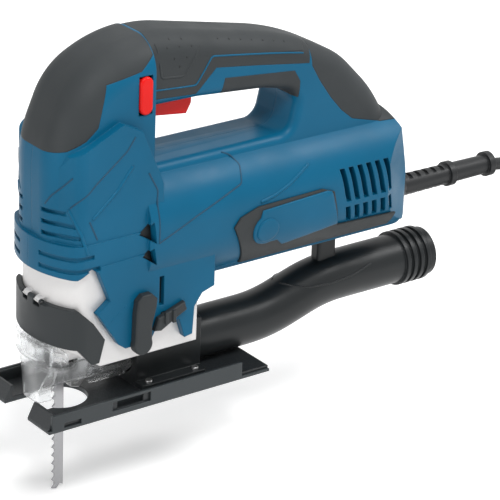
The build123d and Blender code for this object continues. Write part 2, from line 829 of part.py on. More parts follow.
with BuildPart() as spine:
    # handle, rear column and the core of the head, one bent bar seen from the side
    add(crown_body(handle_half_width, shell_edge))
    with BuildSketch(Plane.XZ):
        with BuildLine():
            FilletPolyline(*opening_points, close=True, radius=9)
        make_face()
    extrude(amount=handle_half_width, both=True, mode=Mode.SUBTRACT)
    # the head form takes over below the crown's foot
    cut_back = blade_x + spine_cut_back
    add(box_between((blade_x - spine_cut_back, -far, 0), (cut_back, far, spine_cut_top)), mode=Mode.SUBTRACT)
    in_opening = spine.edges().filter_by_position(Axis.X, blade_x + 37, blade_x + 144.5)
    in_opening = in_opening.filter_by_position(Axis.Z, 133, 168)
    fillet([e for e in in_opening if abs(abs(e.center().Y) - handle_half_width) < 0.01], radius=5)

with BuildPart() as cap_form:
    # the broad front of the head under the front grip
    add(crown_body(cap_half_width, 18))
    add(box_between((blade_x + 43, -50, 0), (blade_x + 260, 50, 230)), mode=Mode.SUBTRACT)
    add(box_between((blade_x - 50, -50, 0), (blade_x + 60, 50, 100)), mode=Mode.SUBTRACT)

head_rear = blade_x + 46
head_corner = 11.5  # from the nose back to where the sides start
head_corner_radius = 9.0
collar_front = 20.0
collar_raise = 0.8
collar_low = 84.0
collar_high = 103.0


def head_nose(front, half_width, low, high, grow=0.0):
    """The head's plan as a prism, from its curved nose back."""
    return nose_prism(front, front + head_corner, half_width, head_rear, low, high, head_corner_radius, grow)


head_points = [
    (blade_x - head_front - 1, 87),
    (blade_x - head_front - 1, 134),
    (blade_x - 10, 152),
    (blade_x + 20, 166),
    (blade_x + 32, 160),
    (head_rear, 128),
    (head_rear, 70),
    (blade_x + 12, 66),
    (blade_x + 6, 87),
]
with BuildPart() as head_form:
    add(head_nose(blade_x - head_front, head_half_width, 60, 170))
    add(side_prism(head_points, head_half_width + 1), mode=Mode.INTERSECT)
    # collar round the top of the gear case
    add(head_nose(blade_x - collar_front, head_half_width + collar_raise, collar_low, collar_high))

with BuildPart() as barrel_form:
    # motor barrel: section, plan and side outline meet
    with BuildSketch(Plane.YZ.offset(barrel_front)):
        with Locations((0, motor_z)):
            RectangleRounded(2 * barrel_half_width, 2 * barrel_half_height, barrel_corner)
    extrude(amount=housing_back - barrel_front)
    with BuildSketch(Plane.XY.offset(motor_z - 50)):
        with BuildLine():
            FilletPolyline(
                (barrel_front - 5, -barrel_half_width - 1),
                (blade_x + 196, -barrel_half_width - 1),
                (housing_back, -handle_half_width + 3),
                (housing_back, handle_half_width - 3),
                (blade_x + 196, barrel_half_width + 1),
                (barrel_front - 5, barrel_half_width + 1),
                close=True,
                radius=12,
            )
        make_face()
    extrude(amount=100, mode=Mode.INTERSECT)
    with BuildSketch(Plane.XZ):
        with BuildLine():
            Polyline(
                (barrel_front - 1, motor_z - 50),
                (blade_x + 206, motor_z - 50),
                (blade_x + 227, 72),
                (blade_x + 226, 85),
                (blade_x + 218, 110),
                (blade_x + 205, motor_z + 50),
                (barrel_front - 1, motor_z + 50),
                close=True,
            )
        make_face()
    extrude(amount=50, both=True, mode=Mode.INTERSECT)

skirt_points = [
    (blade_x + 2, 89),
    (blade_x + 12, 68),
    (blade_x + 4, 62),
    (blade_x + 18, 41),
    (blade_x + 22, 38),
    (blade_x + 38, 38),
    (blade_x + 42, 45),
    (blade_x + 57, 47),
    (blade_x + 61, 35),
    (blade_x + 66, 36),
    (blade_x + 67, 52),
    (blade_x + 72, 59),
    (blade_x + 80, 61.5),
    (blade_x + 80, 92),
]

nose_window = [
    (blade_x - 30, 20),
    (blade_x - 30, 85),
    (blade_x - 8, 84),
    (blade_x + 1, 88.5),
    (blade_x + 4.5, 86),
    (blade_x + 12, 68),
    (blade_x + 4, 62),
    (blade_x + 18, 41),
    (blade_x + 18, 20),
]

groove_heights = (87.5, 94.5, 106, 112.5, 119)
groove_width = 2.4
groove_depth = 1.2
groove_start = 9.0  # from the middle plane
groove_level = 98.0  # where a groove ends at the blade
groove_slant = 0.52
inlet_floor = 1.2  # wall left over the gear case
inlet_corners = [
    [(30, 102), (38, 108.5), (39.5, 96)],
    [(32, 89), (38, 93.5), (40.5, 83)],
    [(43.5, 58), (46.5, 58), (46.5, 75), (43.5, 75)],
]


def cheek_groove(z):
    """A groove along both cheeks of the head, from beside the middle to a slanting rear end."""
    on_collar = z < collar_high
    front = blade_x - (collar_front if on_collar else head_front)
    half_width = head_half_width + (collar_raise if on_collar else 0)
    rear = blade_x + groove_slant * (groove_level - z)
    low, high = z - 1, z + groove_width + 1
    with BuildPart() as groove:
        add(box_between((front - 1, -far, z), (rear, far, z + groove_width)))
        add(box_between((front - 2, -groove_start, low), (rear + 1, groove_start, high)), mode=Mode.SUBTRACT)
        add(head_nose(front, half_width, low, high, -groove_depth), mode=Mode.SUBTRACT)
    return groove.part


with BuildPart() as outer_form:
    add(spine.part)
    add(cap_form.part)
    add(head_form.part)
    add(barrel_form.part)
    add(side_prism(skirt_points, skirt_half_width))
    # the bare gear case shows in front, below the head
    add(side_prism(nose_window, far), mode=Mode.SUBTRACT)
    # louvres on the cheeks, triangular air inlets and a slot behind them
    for groove_z in groove_heights:
        add(cheek_groove(groove_z), mode=Mode.SUBTRACT)
    for side in (-1, 1):
        for corners in inlet_corners:
            middle = side * (case_half_width + inlet_floor + 10)
            add(side_prism([(blade_x + x, z) for x, z in corners], 10, middle), mode=Mode.SUBTRACT)


# ---------------------------------------------------------------- grips moulded over the shells
front_grip_edge = [
    (blade_x - 40, 151),
    (blade_x - 19, 152),
    (blade_x - 10, 154),
    (blade_x, 159),
    (blade_x + 7, 165),
    (blade_x + 10, 177),
    (blade_x + 13, 187),
    (blade_x + 34, 191),
    (blade_x + 42.5, 198),
    (blade_x + 42.5, 230),
    (blade_x - 40, 230),
]
grip_seam = 1.3  # strip of shell between neighbouring grips
pad_front = blade_x + 42.5 + grip_seam
pad_edge = [
    (pad_front, 176.5),
    (blade_x + 73, 174.5),
    (blade_x + 77, 180),
    (blade_x + 83, 189),
    (blade_x + 112, 185),
    (blade_x + 146, 180),
    (blade_x + 151, 187),
]
band_edge = [
    (pad_front, 171.5),
    (blade_x + 73, 169.5),
    (blade_x + 86, 182),
    (blade_x + 112, 178.5),
    (blade_x + 149, 173),
    (blade_x + 151, 180),
]
rear_grip_edge = [
    (blade_x + 151, 187),
    (blade_x + 151, 171),
    (blade_x + 157, 161),
    (blade_x + 165, 150),
    (blade_x + 173, 141),
    (blade_x + 181, 134.5),
    (blade_x + 201, 129),
    (blade_x + 250, 127),
    (blade_x + 250, 230),
    (blade_x + 151, 230),
]
pad_region = pad_edge + [(blade_x + 151, 230), (pad_front, 230)]
band_region = band_edge + pad_edge[::-1]
finger_region = [
    (blade_x + 88, 160),
    (blade_x + 92, 175),
    (blade_x + 139, 170.5),
    (blade_x + 143, 164),
    (blade_x + 143, 154),
    (blade_x + 120, 160),
]
spine_core = crown_body(handle_half_width - grip_depth, shell_edge - grip_depth, grip_depth)
cap_core = crown_body(cap_half_width - grip_depth, 18 - grip_depth, grip_depth)

with BuildPart() as front_grip:
    add(outer_form.part)
    add(side_prism(front_grip_edge, far), mode=Mode.INTERSECT)
    add(cap_core, mode=Mode.SUBTRACT)


def handle_skin(region):
    """The part of the outer form inside a region of the side view, down to the grip's depth."""
    with BuildPart() as skin:
        add(outer_form.part)
        add(side_prism(region, far), mode=Mode.INTERSECT)
        add(spine_core, mode=Mode.SUBTRACT)
    return skin


top_grip = handle_skin(pad_region)
handle_band = handle_skin(band_region)
rear_grip = handle_skin(rear_grip_edge)

with BuildPart() as finger_core:
    add(side_prism(finger_region, handle_half_width - grip_depth))
    with BuildSketch(Plane.XZ):
        with BuildLine():
            FilletPolyline(*opening_points, close=True, radius=9)
        make_face()
        offset(amount=grip_depth)
    extrude(amount=far, both=True, mode=Mode.SUBTRACT)
with BuildPart() as finger_pad:
    add(outer_form.part)
    add(side_prism(finger_region, far), mode=Mode.INTERSECT)
    add(finger_core.part, mode=Mode.SUBTRACT)

bumper_raise = 1.3
bumper_outline = [
    (blade_x + 90, 94),
    (blade_x + 94, 99),
    (blade_x + 106, 103),
    (blade_x + 150, 104),
    (blade_x + 158, 101),
    (blade_x + 163, 79),
    (blade_x + 206, 77),
    (blade_x + 206, 67),
    (blade_x + 102, 67),
]
with BuildPart() as bumper_ring:
    with BuildSketch(Plane.YZ.offset(barrel_front)):
        with Locations((0, motor_z)):
            RectangleRounded(
                2 * (barrel_half_width + bumper_raise),
                2 * (barrel_half_height + bumper_raise),
                barrel_corner + bumper_raise,
            )
            RectangleRounded(2 * barrel_half_width, 2 * barrel_half_height, barrel_corner, mode=Mode.SUBTRACT)
    extrude(amount=housing_back - barrel_front)
    add(side_prism(bumper_outline, far), mode=Mode.INTERSECT)
    add(outer_form.part, mode=Mode.SUBTRACT)


def half_of(piece, keep):
    """One half of a piece, cut at the parting plane."""
    with BuildPart() as half:
        add(piece.part)
        split(bisect_by=Plane.XZ, keep=keep)
    return half


side_bumper_left = half_of(bumper_ring, Keep.TOP)
side_bumper_right = half_of(bumper_ring, Keep.BOTTOM)

# ---------------------------------------------------------------- housing shells
trigger_half_width = 8.5
trigger_points = [
    (blade_x + 43.5, 170),
    (blade_x + 43.0, 151.5),
    (blade_x + 47, 155.5),
    (blade_x + 53, 157.2),
    (blade_x + 75, 154.5),
    (blade_x + 77.5, 159),
    (blade_x + 77.5, 170),
]
lock_low = (blade_x + 32.5, -26.5, 167.0)
lock_high = (blade_x + 40.5, -15.0, 188.0)
lock_travel = 3.0
screw_places = [(26, 122), (151, 123), (211, 92), (148.5, 164), (3, 150)]
screw_head_y = 14.0
screw_tip = 11.0
screw_shank = 2.0
screw_head = 3.7
rear_wall_x = rear_bearing_x - 2
chamber_x = rear_bearing_x + bearing_width + 6
chamber_end = blade_x + 205
chamber_radius = 27.0
module_rib_x = chamber_x + 19
clamp_rib_x = chamber_x + 36
rib_thickness = 4.5
electronics_low = (chamber_x + 8, -15.0, motor_z - 12)
electronics_high = (chamber_x + 34, 15.0, motor_z + 16)
switch_low = (blade_x + 46, -10.5, 176.3)
switch_high = (blade_x + 92, 10.5, 190)
cord_radius = cord_diameter / 2
boot_root = 8.0
boot_front = housing_back - 9.0
orbital_x = blade_x + 31.0
orbital_z = 39.4
orbital_shaft = 3.0
orbital_inner_y = -20.0
blower_low = (blade_x + 41, -35.0, 46.0)
blower_high = (blade_x + 57, -skirt_half_width - run_gap, 57.0)
blower_travel = 5.0


def cut_x(start, end, radius, z=motor_z):
    """A cylinder along X, used to bore the housing."""
    with BuildPart() as cutter:
        with BuildSketch(Plane.YZ.offset(start)):
            with Locations((0, z)):
                Circle(radius)
        extrude(amount=end - start)
    return cutter.part


def grown(low, high, gap):
    """A box widened all round by a gap."""
    return box_between(tuple(c - gap for c in low), tuple(c + gap for c in high))


def slanted_slots(first_x, low_z, high_z, lean, count, pitch, width, inner, outer):
    """A row of upright slots leaning forwards, through the wall on both sides."""
    with BuildPart() as row:
        for slot in range(count):
            x = first_x + slot * pitch
            for side in (-1, 1):
                middle = side * (inner + outer) / 2
                corners = [(x, low_z), (x + width, low_z), (x + width - lean, high_z), (x - lean, high_z)]
                add(side_prism(corners, (outer - inner) / 2, middle))
    return row.part


# bore of the orbital lever's shaft, through housing and gear case
with BuildPart() as orbital_bore:
    with BuildSketch(Plane.XZ.offset(-orbital_inner_y)):
        with Locations((orbital_x, orbital_z)):
            Circle(orbital_shaft + fit_gap)
    extrude(amount=far)

with BuildPart() as housing:
    add(outer_form.part)
    for grip in (front_grip, top_grip, handle_band, rear_grip, finger_pad):
        add(grip.part, mode=Mode.SUBTRACT)
    # pocket for the gear case
    pocket_back = blade_x + chamber_back + seat_gap
    add(case_nose(pocket_back, case_bottom, case_top, seat_gap), mode=Mode.SUBTRACT)
    low = (blade_x, -case_half_width - seat_gap, case_bottom - 1)
    add(box_between(low, (pocket_back, case_half_width + seat_gap, case_top + seat_gap)), mode=Mode.SUBTRACT)
    low = (blade_x, -case_half_width - seat_gap, case_bottom - 1)
    add(
        box_between(low, (case_high_x + seat_gap, case_half_width + seat_gap, case_shelf + seat_gap)),
        mode=Mode.SUBTRACT,
    )
    # well over the plunger
    well_top = plunger_top + stroke + 2
    add(box_between((blade_x - 8, -8, case_top - 1), (blade_x + 8, 8, well_top)), mode=Mode.SUBTRACT)
    # motor bore, rear bearing seat, rear chamber between its ribs, cord passage, boot seat
    add(cut_x(blade_x + 40, rear_wall_x, motor_bore), mode=Mode.SUBTRACT)
    add(cut_x(rear_wall_x - 1, chamber_x - 3, rear_bearing_radius + fit_gap), mode=Mode.SUBTRACT)
    add(cut_x(chamber_x, module_rib_x, chamber_radius), mode=Mode.SUBTRACT)
    add(cut_x(module_rib_x + rib_thickness, clamp_rib_x, chamber_radius), mode=Mode.SUBTRACT)
    add(cut_x(clamp_rib_x + rib_thickness, chamber_end, chamber_radius), mode=Mode.SUBTRACT)
    add(grown(electronics_low, electronics_high, seat_gap), mode=Mode.SUBTRACT)
    add(box_between((clamp_rib_x - 1, -12, cord_z), (clamp_rib_x + 6, 12, cord_z + 16)), mode=Mode.SUBTRACT)
    add(cut_x(module_rib_x - 6, boot_front + 1, cord_radius + 0.3, cord_z), mode=Mode.SUBTRACT)
    add(cut_x(boot_front, housing_back + 5, boot_root + fit_gap, cord_z), mode=Mode.SUBTRACT)
    # switch well, trigger slot, pocket of the lock button
    add(box_between(switch_low, switch_high), mode=Mode.SUBTRACT)
    add(
        box_between(
            (trigger_points[0][0] - 1, -trigger_half_width - run_gap, 150),
            (trigger_points[-1][0] + run_gap, trigger_half_width + run_gap, switch_low[2] + 0.1),
        ),
        mode=Mode.SUBTRACT,
    )
    lock_end = (lock_high[0] + run_gap, lock_high[1] + lock_travel + 0.5, lock_high[2] + run_gap)
    add(box_between(tuple(c - run_gap for c in lock_low), lock_end), mode=Mode.SUBTRACT)
    # bore of the orbital lever's shaft, slot of the blower switch's peg
    add(orbital_bore.part, mode=Mode.SUBTRACT)
    peg_low = (blower_low[0] + 4 - run_gap, blower_low[1] - 1, blower_low[2] + 3.2)
    peg_high = (blower_low[0] + 8 + blower_travel + run_gap, -case_half_width - 1, blower_low[2] + 7.8)
    add(box_between(peg_low, peg_high), mode=Mode.SUBTRACT)
    # screws from the right
    for x, z in screw_places:
        with BuildSketch(Plane.XZ.offset(screw_tip)):
            with Locations((blade_x + x, z)):
                Circle(screw_shank + fit_gap)
        extrude(amount=-screw_tip - screw_head_y - 1, mode=Mode.SUBTRACT)
        with BuildSketch(Plane.XZ.offset(-screw_head_y)):
            with Locations((blade_x + x, z)):
                Circle(screw_head + run_gap)
        extrude(amount=-far, mode=Mode.SUBTRACT)
    # two rows of air slots at the rear
    add(slanted_slots(blade_x + 168, 92, 112, 5, 6, 6.2, 3.4, 18, 40), mode=Mode.SUBTRACT)
    add(slanted_slots(blade_x + 170, 79.5, 89, 2.5, 6, 6.2, 3.4, 15, 40), mode=Mode.SUBTRACT)

housing_left = half_of(housing, Keep.TOP)
housing_right = half_of(housing, Keep.BOTTOM)

with BuildPart() as housing_screws:
    for x, z in screw_places:
        with BuildSketch(Plane.XZ.offset(screw_tip)):
            with Locations((blade_x + x, z)):
                Circle(screw_shank)
        extrude(amount=-screw_tip - screw_head_y)
        with BuildSketch(Plane.XZ.offset(-screw_head_y)):
            with Locations((blade_x + x, z)):
                Circle(screw_head)
                Rectangle(1.2, 5, mode=Mode.SUBTRACT)
                Rectangle(5, 1.2, mode=Mode.SUBTRACT)
        extrude(amount=-2.4)

# ---------------------------------------------------------------- controls
with BuildPart() as trigger:
    add(side_prism(trigger_points, trigger_half_width))
    side_edges = trigger.edges().filter_by(lambda e: abs(abs(e.center().Y) - trigger_half_width) < 0.01)
    fillet(side_edges.filter_by(lambda e: e.center().Z < 158), radius=1.5)

with BuildPart() as lock_button:
    with BuildSketch(Plane.XZ.offset(-lock_high[1])):
        with Locations(((lock_low[0] + lock_high[0]) / 2, (lock_low[2] + lock_high[2]) / 2)):
            RectangleRounded(lock_high[0] - lock_low[0], lock_high[2] - lock_low[2], 3.9)
    extrude(amount=lock_high[1] - lock_low[1])
    fillet(lock_button.edges().filter_by_position(Axis.Y, lock_low[1] - 0.1, lock_low[1] + 0.1), radius=1.2)

with BuildPart() as switch_module:
    low = (switch_low[0] + seat_gap, switch_low[1] + seat_gap, switch_low[2] + seat_gap)
    high = tuple(c - seat_gap for c in switch_high)
    add(box_between(low, high))
    chamfer(switch_module.edges().filter_by(Axis.X), 1)

with BuildPart() as electronics_module:
    add(box_between(electronics_low, electronics_high))
    # cooling fins on top
    for fin in range(6):
        x = electronics_low[0] + 3 + 4 * fin
        fin_gap = box_between((x, -16, electronics_high[2] - 8), (x + 2, 16, electronics_high[2] + 1))
        add(fin_gap, mode=Mode.SUBTRACT)

with BuildPart() as cord_clamp:
    add(box_between((clamp_rib_x - 0.5, -11, cord_z), (clamp_rib_x + 5.5, 11, cord_z + 8)))
    add(cut_x(clamp_rib_x - 2, clamp_rib_x + 7, cord_radius + fit_gap, cord_z), mode=Mode.SUBTRACT)

orbital_face_y = -skirt_half_width - run_gap
orbital_thickness = 4.4
orbital_arm = [
    (blade_x + 25.5, 40),
    (blade_x + 26, 58),
    (blade_x + 27, 65.5),
    (blade_x + 30, 68.5),
    (blade_x + 36, 68.5),
    (blade_x + 39.5, 65),
    (blade_x + 39, 60),
    (blade_x + 36.5, 50),
    (blade_x + 36.5, 40),
]
with BuildPart() as orbital_lever:
    with BuildSketch(Plane.XZ.offset(-orbital_face_y)):
        with Locations((orbital_x, orbital_z)):
            Circle(5.9)
    extrude(amount=orbital_thickness)
    add(side_prism(orbital_arm, orbital_thickness / 2, orbital_face_y - orbital_thickness / 2))
    outer_y = orbital_face_y - orbital_thickness
    rim = orbital_lever.edges().filter_by_position(Axis.Y, outer_y - 0.1, outer_y + 0.1)
    fillet(rim, radius=1)
    with BuildSketch(Plane.XZ.offset(-orbital_inner_y)):
        with Locations((orbital_x, orbital_z)):
            Circle(orbital_shaft)
    extrude(amount=orbital_inner_y - orbital_face_y)

blower_outline = [
    (blade_x + 39, 45),
    (blade_x + 41.5, 52),
    (blade_x + 58.5, 58),
    (blade_x + 60, 53),
    (blade_x + 54, 50),
    (blade_x + 43.5, 44.3),
]
with BuildPart() as blower_switch:
    add(side_prism(blower_outline, (blower_high[1] - blower_low[1]) / 2, (blower_low[1] + blower_high[1]) / 2))
    chamfer(blower_switch.edges().filter_by_position(Axis.Y, blower_low[1] - 0.1, blower_low[1] + 0.1), 0.8)
    # two grip ridges and the guide peg
    for ridge in (4, 9):
        low = (blower_low[0] + ridge, blower_low[1] - 1, blower_low[2] + 2)
        high = (blower_low[0] + ridge + 2, blower_low[1] + 0.5, blower_high[2] - 2)
        add(box_between(low, high))
    low = (blower_low[0] + 4, blower_high[1] - 0.5, blower_low[2] + 3.5)
    high = (blower_low[0] + 8, -case_half_width - 1.3, blower_low[2] + 7.5)
    add(box_between(low, high))

# ---------------------------------------------------------------- blade release lever
band_thickness = 3.2
band_gap = 0.3
band_top = 66.0
band_outer_x = case_low_x - band_gap - band_thickness
release_x = case_low_x - band_gap - band_thickness / 2
release_outline = [
    (band_outer_x - 1, 43.5),
    (blade_x - 7, 43),
    (blade_x + 1.5, 33),
    (blade_x + 6, 33),
    (blade_x + 9.5, 46),
    (blade_x + 2, 57),
    (blade_x - 7, band_top),
    (band_outer_x - 1, band_top),
]
knuckle_half = 2.4
knuckle_y = 5.4
barrel_half_length = 9.5
release_pin_radius = 0.9
with BuildPart() as release_lever:
    # a band wrapped round the nose of the case
    add(case_nose(blade_x + 30, 20, 80, band_gap + band_thickness))
    add(case_nose(blade_x + 40, 19, 81, band_gap), mode=Mode.SUBTRACT)
    add(side_prism(release_outline, far), mode=Mode.INTERSECT)
    # rounded hinge barrel along the top of the front, with gaps for the case's lugs
    with BuildSketch(Plane.XZ.offset(-barrel_half_length)):
        with Locations((release_x, band_top)):
            Circle(band_thickness / 2)
    extrude(amount=2 * barrel_half_length)
    for side in (-1, 1):
        low = (band_outer_x - 1, side * knuckle_y - knuckle_half - run_gap, band_top - 3)
        high = (case_low_x + 3, side * knuckle_y + knuckle_half + run_gap, band_top + 3)
        add(box_between(low, high), mode=Mode.SUBTRACT)
    with BuildSketch(Plane.XZ.offset(-far)):
        with Locations((release_x, band_top)):
            Circle(release_pin_radius + fit_gap)
    extrude(amount=2 * far, mode=Mode.SUBTRACT)

release_pin = cross_pin(release_pin_radius, release_x, band_top, barrel_half_length - 0.5)

with BuildPart() as gear_case:
    add(bored_case.part)
    # lugs that carry the release lever's pin
    for side in (-1, 1):
        with BuildSketch(Plane.XZ.offset(-side * knuckle_y - knuckle_half)):
            with BuildLine():
                Polyline(
                    (case_low_x + 2, band_top - 2.4),
                    (release_x, band_top - 1.6),
                    (release_x - 1.5, band_top),
                    (release_x, band_top + 1.6),
                    (case_low_x + 2, band_top + 2.4),
                    close=True,
                )
            make_face()
        extrude(amount=2 * knuckle_half)
    with BuildSketch(Plane.XZ.offset(-far)):
        with Locations((release_x, band_top)):
            Circle(release_pin_radius + fit_gap)
    extrude(amount=2 * far, mode=Mode.SUBTRACT)
    add(orbital_bore.part, mode=Mode.SUBTRACT)

# ---------------------------------------------------------------- dust hood
hood_wall = 1.6
hood_front = blade_x - 21.0
hood_low_front = blade_x - 18.6
hood_corner = blade_x - 10.5
hood_half_width = 25.2
hood_corner_radius = 4.0
hood_step = case_low_x - run_gap
hood_shoulder = blade_x - 9.3
hood_back = blade_x + 40.5
hood_lid = 28.8
hood_rear_wall = blade_x + 19.5


def section_prism(half, start, end):
    """A prism along X whose section is a half outline mirrored in the tool's middle plane."""
    outline = half + [(-y, z) for y, z in half[::-1]]
    with BuildPart() as prism:
        with BuildSketch(Plane.YZ.offset(start)):
            with BuildLine():
                Polyline(*outline, close=True)
            make_face()
        extrude(amount=end - start)
    return prism.part


def hood_plan(front, grow=0.0):
    """The curved front of the hood as a prism."""
    corner = hood_corner + front - hood_front
    return nose_prism(front, corner, hood_half_width, hood_back, 0, 50, hood_corner_radius, grow)


front_outer = [(8, 5.5), (8, 12), (17, 31), (17, 33.5), (25, 33.5), (25, 39.6)]
front_inner = [(6.4, 3), (6.4, 12.3), (15.4, 31.2), (15.4, 35.1), (23.4, 35.1), (23.4, 38)]
cheek = [(8.9, 15), (10.5, 15), (15.8, hood_lid), (14.2, hood_lid)]
with BuildPart() as hood_outer:
    add(section_prism(front_outer, hood_low_front, hood_shoulder))
    add(hood_plan(hood_low_front), mode=Mode.INTERSECT)
with BuildPart() as hood_lip:
    # the lid stands higher and further forward than the chute below it
    add(section_prism([(17, 31), (17, 33.5), (25, 33.5), (25, 42.4)], hood_front, hood_step))
    add(hood_plan(hood_front), mode=Mode.INTERSECT)
with BuildPart() as hood_room:
    add(section_prism(front_inner, hood_low_front, hood_shoulder + 1))
    add(hood_plan(hood_low_front, -hood_wall), mode=Mode.INTERSECT)
with BuildPart() as hood_lip_room:
    shoulder_section = [(15.4, 32.6), (15.4, 35.1), (23.4, 35.1), (23.4, 40.8)]
    add(section_prism(shoulder_section, hood_front, hood_step - hood_wall))
    add(hood_plan(hood_front, -hood_wall), mode=Mode.INTERSECT)
with BuildPart() as dust_hood:
    add(hood_outer.part)
    add(hood_lip.part)
    add(hood_room.part, mode=Mode.SUBTRACT)
    add(hood_lip_room.part, mode=Mode.SUBTRACT)
    # cheeks beside the blade clamp
    for side in (-1, 1):
        with BuildSketch(Plane.YZ.offset(hood_shoulder - 1)):
            with BuildLine():
                Polyline(*[(side * y, z) for y, z in cheek], close=True)
            make_face()
        extrude(amount=hood_rear_wall + 1 - hood_shoulder + 1)
    # end wall and the duct behind it
    end_wall = [(8.9, 14.4), (10.5, 15), (15.8, hood_lid)]
    add(section_prism(end_wall, hood_rear_wall, hood_rear_wall + hood_wall))
    add(section_prism([(1.8, 5.5), (10.5, 14.2), (10.5, 18.5)], hood_rear_wall, hood_back))
    fork_room = section_prism([(1.3, 6.9), (9.2, 14.8), (9.2, 17.2)], hood_rear_wall - 1, hood_back + 1)
    add(fork_room, mode=Mode.SUBTRACT)

# ---------------------------------------------------------------- cord, boot, plug
boot_back = housing_back + boot_length
boot_tip = 5.6
collar_radius = 7.4
collar_length = 4.0
with BuildPart() as cord_boot:
    with BuildSketch(Plane.XZ):
        with BuildLine():
            Polyline(
                (boot_front + seat_gap, cord_z),
                (boot_front + seat_gap, cord_z + boot_root),
                (housing_back + 4, cord_z + boot_root),
                (housing_back + 8, cord_z + boot_tip + 0.8),
                (boot_back, cord_z + boot_tip),
                (boot_back, cord_z),
                close=True,
            )
        make_face()
    revolve(axis=Axis((0, 0, cord_z), (1, 0, 0)))
    for collar_x in (housing_back + 42, boot_back - collar_length):
        add(cut_x(collar_x, collar_x + collar_length, collar_radius, cord_z))
    add(cut_x(boot_front - 1, boot_back + 1, cord_radius + fit_gap, cord_z), mode=Mode.SUBTRACT)
    # flex slots along the thin part
    for slot in range(5):
        low = (housing_back + 12 + 6 * slot, -10, cord_z + 4.6)
        add(box_between(low, (low[0] + 2.5, 10, cord_z + 12)), mode=Mode.SUBTRACT)
        low = (housing_back + 12 + 6 * slot, -10, cord_z - 12)
        add(box_between(low, (low[0] + 2.5, 10, cord_z - 4.6)), mode=Mode.SUBTRACT)

# the lead between the clamp and the boot's middle is straight
lead_start = boot_back - 30
inner_lead = disc_x(clamp_rib_x - 4, lead_start - clamp_rib_x + 4, cord_radius, z=cord_z)

# free cord: out of the boot, down, and onto the coil of its put-away length
floor_lead_z = floor_z + cord_radius
coil_x = 350.0
coil_y = -17.75
coil_radius = 42.0
coil_layers = 3
coil_columns = 3
coil_top = floor_z + coil_layers * cord_diameter
lead_route = [
    (lead_start, 0, cord_z),
    (280, 0, cord_z),
    (313, 13, 47),
    (320, 26, 8),
    (326, 29, -22),
    (341, 32, -40.5),
    (364, 31.5, floor_lead_z),
    (386, 19, floor_lead_z),
]
# the tail lies on the coil and ends in the plug, which lies there too
tail_z = coil_top + cord_radius
plug_neck = 18.0
plug_body = 33.0
plug_width = 34.0
plug_height = 20.0
pin_length = 19.0
pin_radius = 2.4
pin_spacing = 19.0
plug_z = coil_top + seat_gap + plug_height / 2
tail_route = [
    (367, 20, tail_z),
    (388, 9, tail_z),
    (399, -10, tail_z),
    (397, -32, tail_z),
    (383, -49.5, (tail_z + plug_z) / 2),
    (363, -56, plug_z),
    (345, -55, plug_z),
]


def cord_tube(name, route):
    """A tube along straight runs joined by arcs as large as the runs allow."""
    points = [Vector(*point) for point in route]
    runs = [b - a for a, b in zip(points, points[1:])]
    turns = [before.get_angle(after) for before, after in zip(runs, runs[1:])]
    radii = [
        0.45 * min(before.length, after.length) / tan(radians(turn / 2))
        for before, after, turn in zip(runs, runs[1:], turns)
    ]
    print(name, "bend radii", [round(radius, 1) for radius in radii])
    with BuildPart() as tube:
        with BuildLine() as path:
            FilletPolyline(*points, radius=radii)
        with BuildSketch(Plane(origin=points[0], z_dir=runs[0])):
            Circle(cord_radius)
        sweep(path=path.line)
    length = sum(edge.length for edge in path.edges())
    share = tube.part.volume / (pi * cord_radius**2 * length)
    print(name, "length", round(length, 1), "volume over section times length", round(share, 4))
    return tube


cord_lead = cord_tube("cord_lead", lead_route)
cord_tail = cord_tube("cord_tail", tail_route)

with BuildPart() as cord_coil:
    with BuildSketch(Plane.XY.offset(floor_z)):
        with Locations((coil_x, coil_y)):
            Circle(coil_radius + coil_columns * cord_radius)
            Circle(coil_radius - coil_columns * cord_radius, mode=Mode.SUBTRACT)
    extrude(amount=coil_top - floor_z)

plug_start = Vector(*tail_route[-1])
plug_axis = (plug_start - Vector(*tail_route[-2])).normalized()


def plug_plane(distance):
    """A plane across the plug, a distance behind the end of the cord, its x along the plug's width."""
    across = plug_axis.cross(Vector(0, 0, 1))
    return Plane(origin=plug_start + plug_axis * distance, x_dir=across, z_dir=plug_axis)


with BuildPart() as plug:
    with BuildSketch(plug_plane(0)):
        Circle(cord_radius + 1.8)
    with BuildSketch(plug_plane(plug_neck)):
        RectangleRounded(0.6 * plug_width, plug_height - 4, 6)
    loft()
    with BuildSketch(plug_plane(plug_neck)):
        RectangleRounded(plug_width, plug_height, 8)
    extrude(amount=plug_body)
    with BuildSketch(plug_plane(plug_neck + plug_body)):
        with GridLocations(pin_spacing, 1, 2, 1):
            Circle(pin_radius)
    extrude(amount=pin_length)

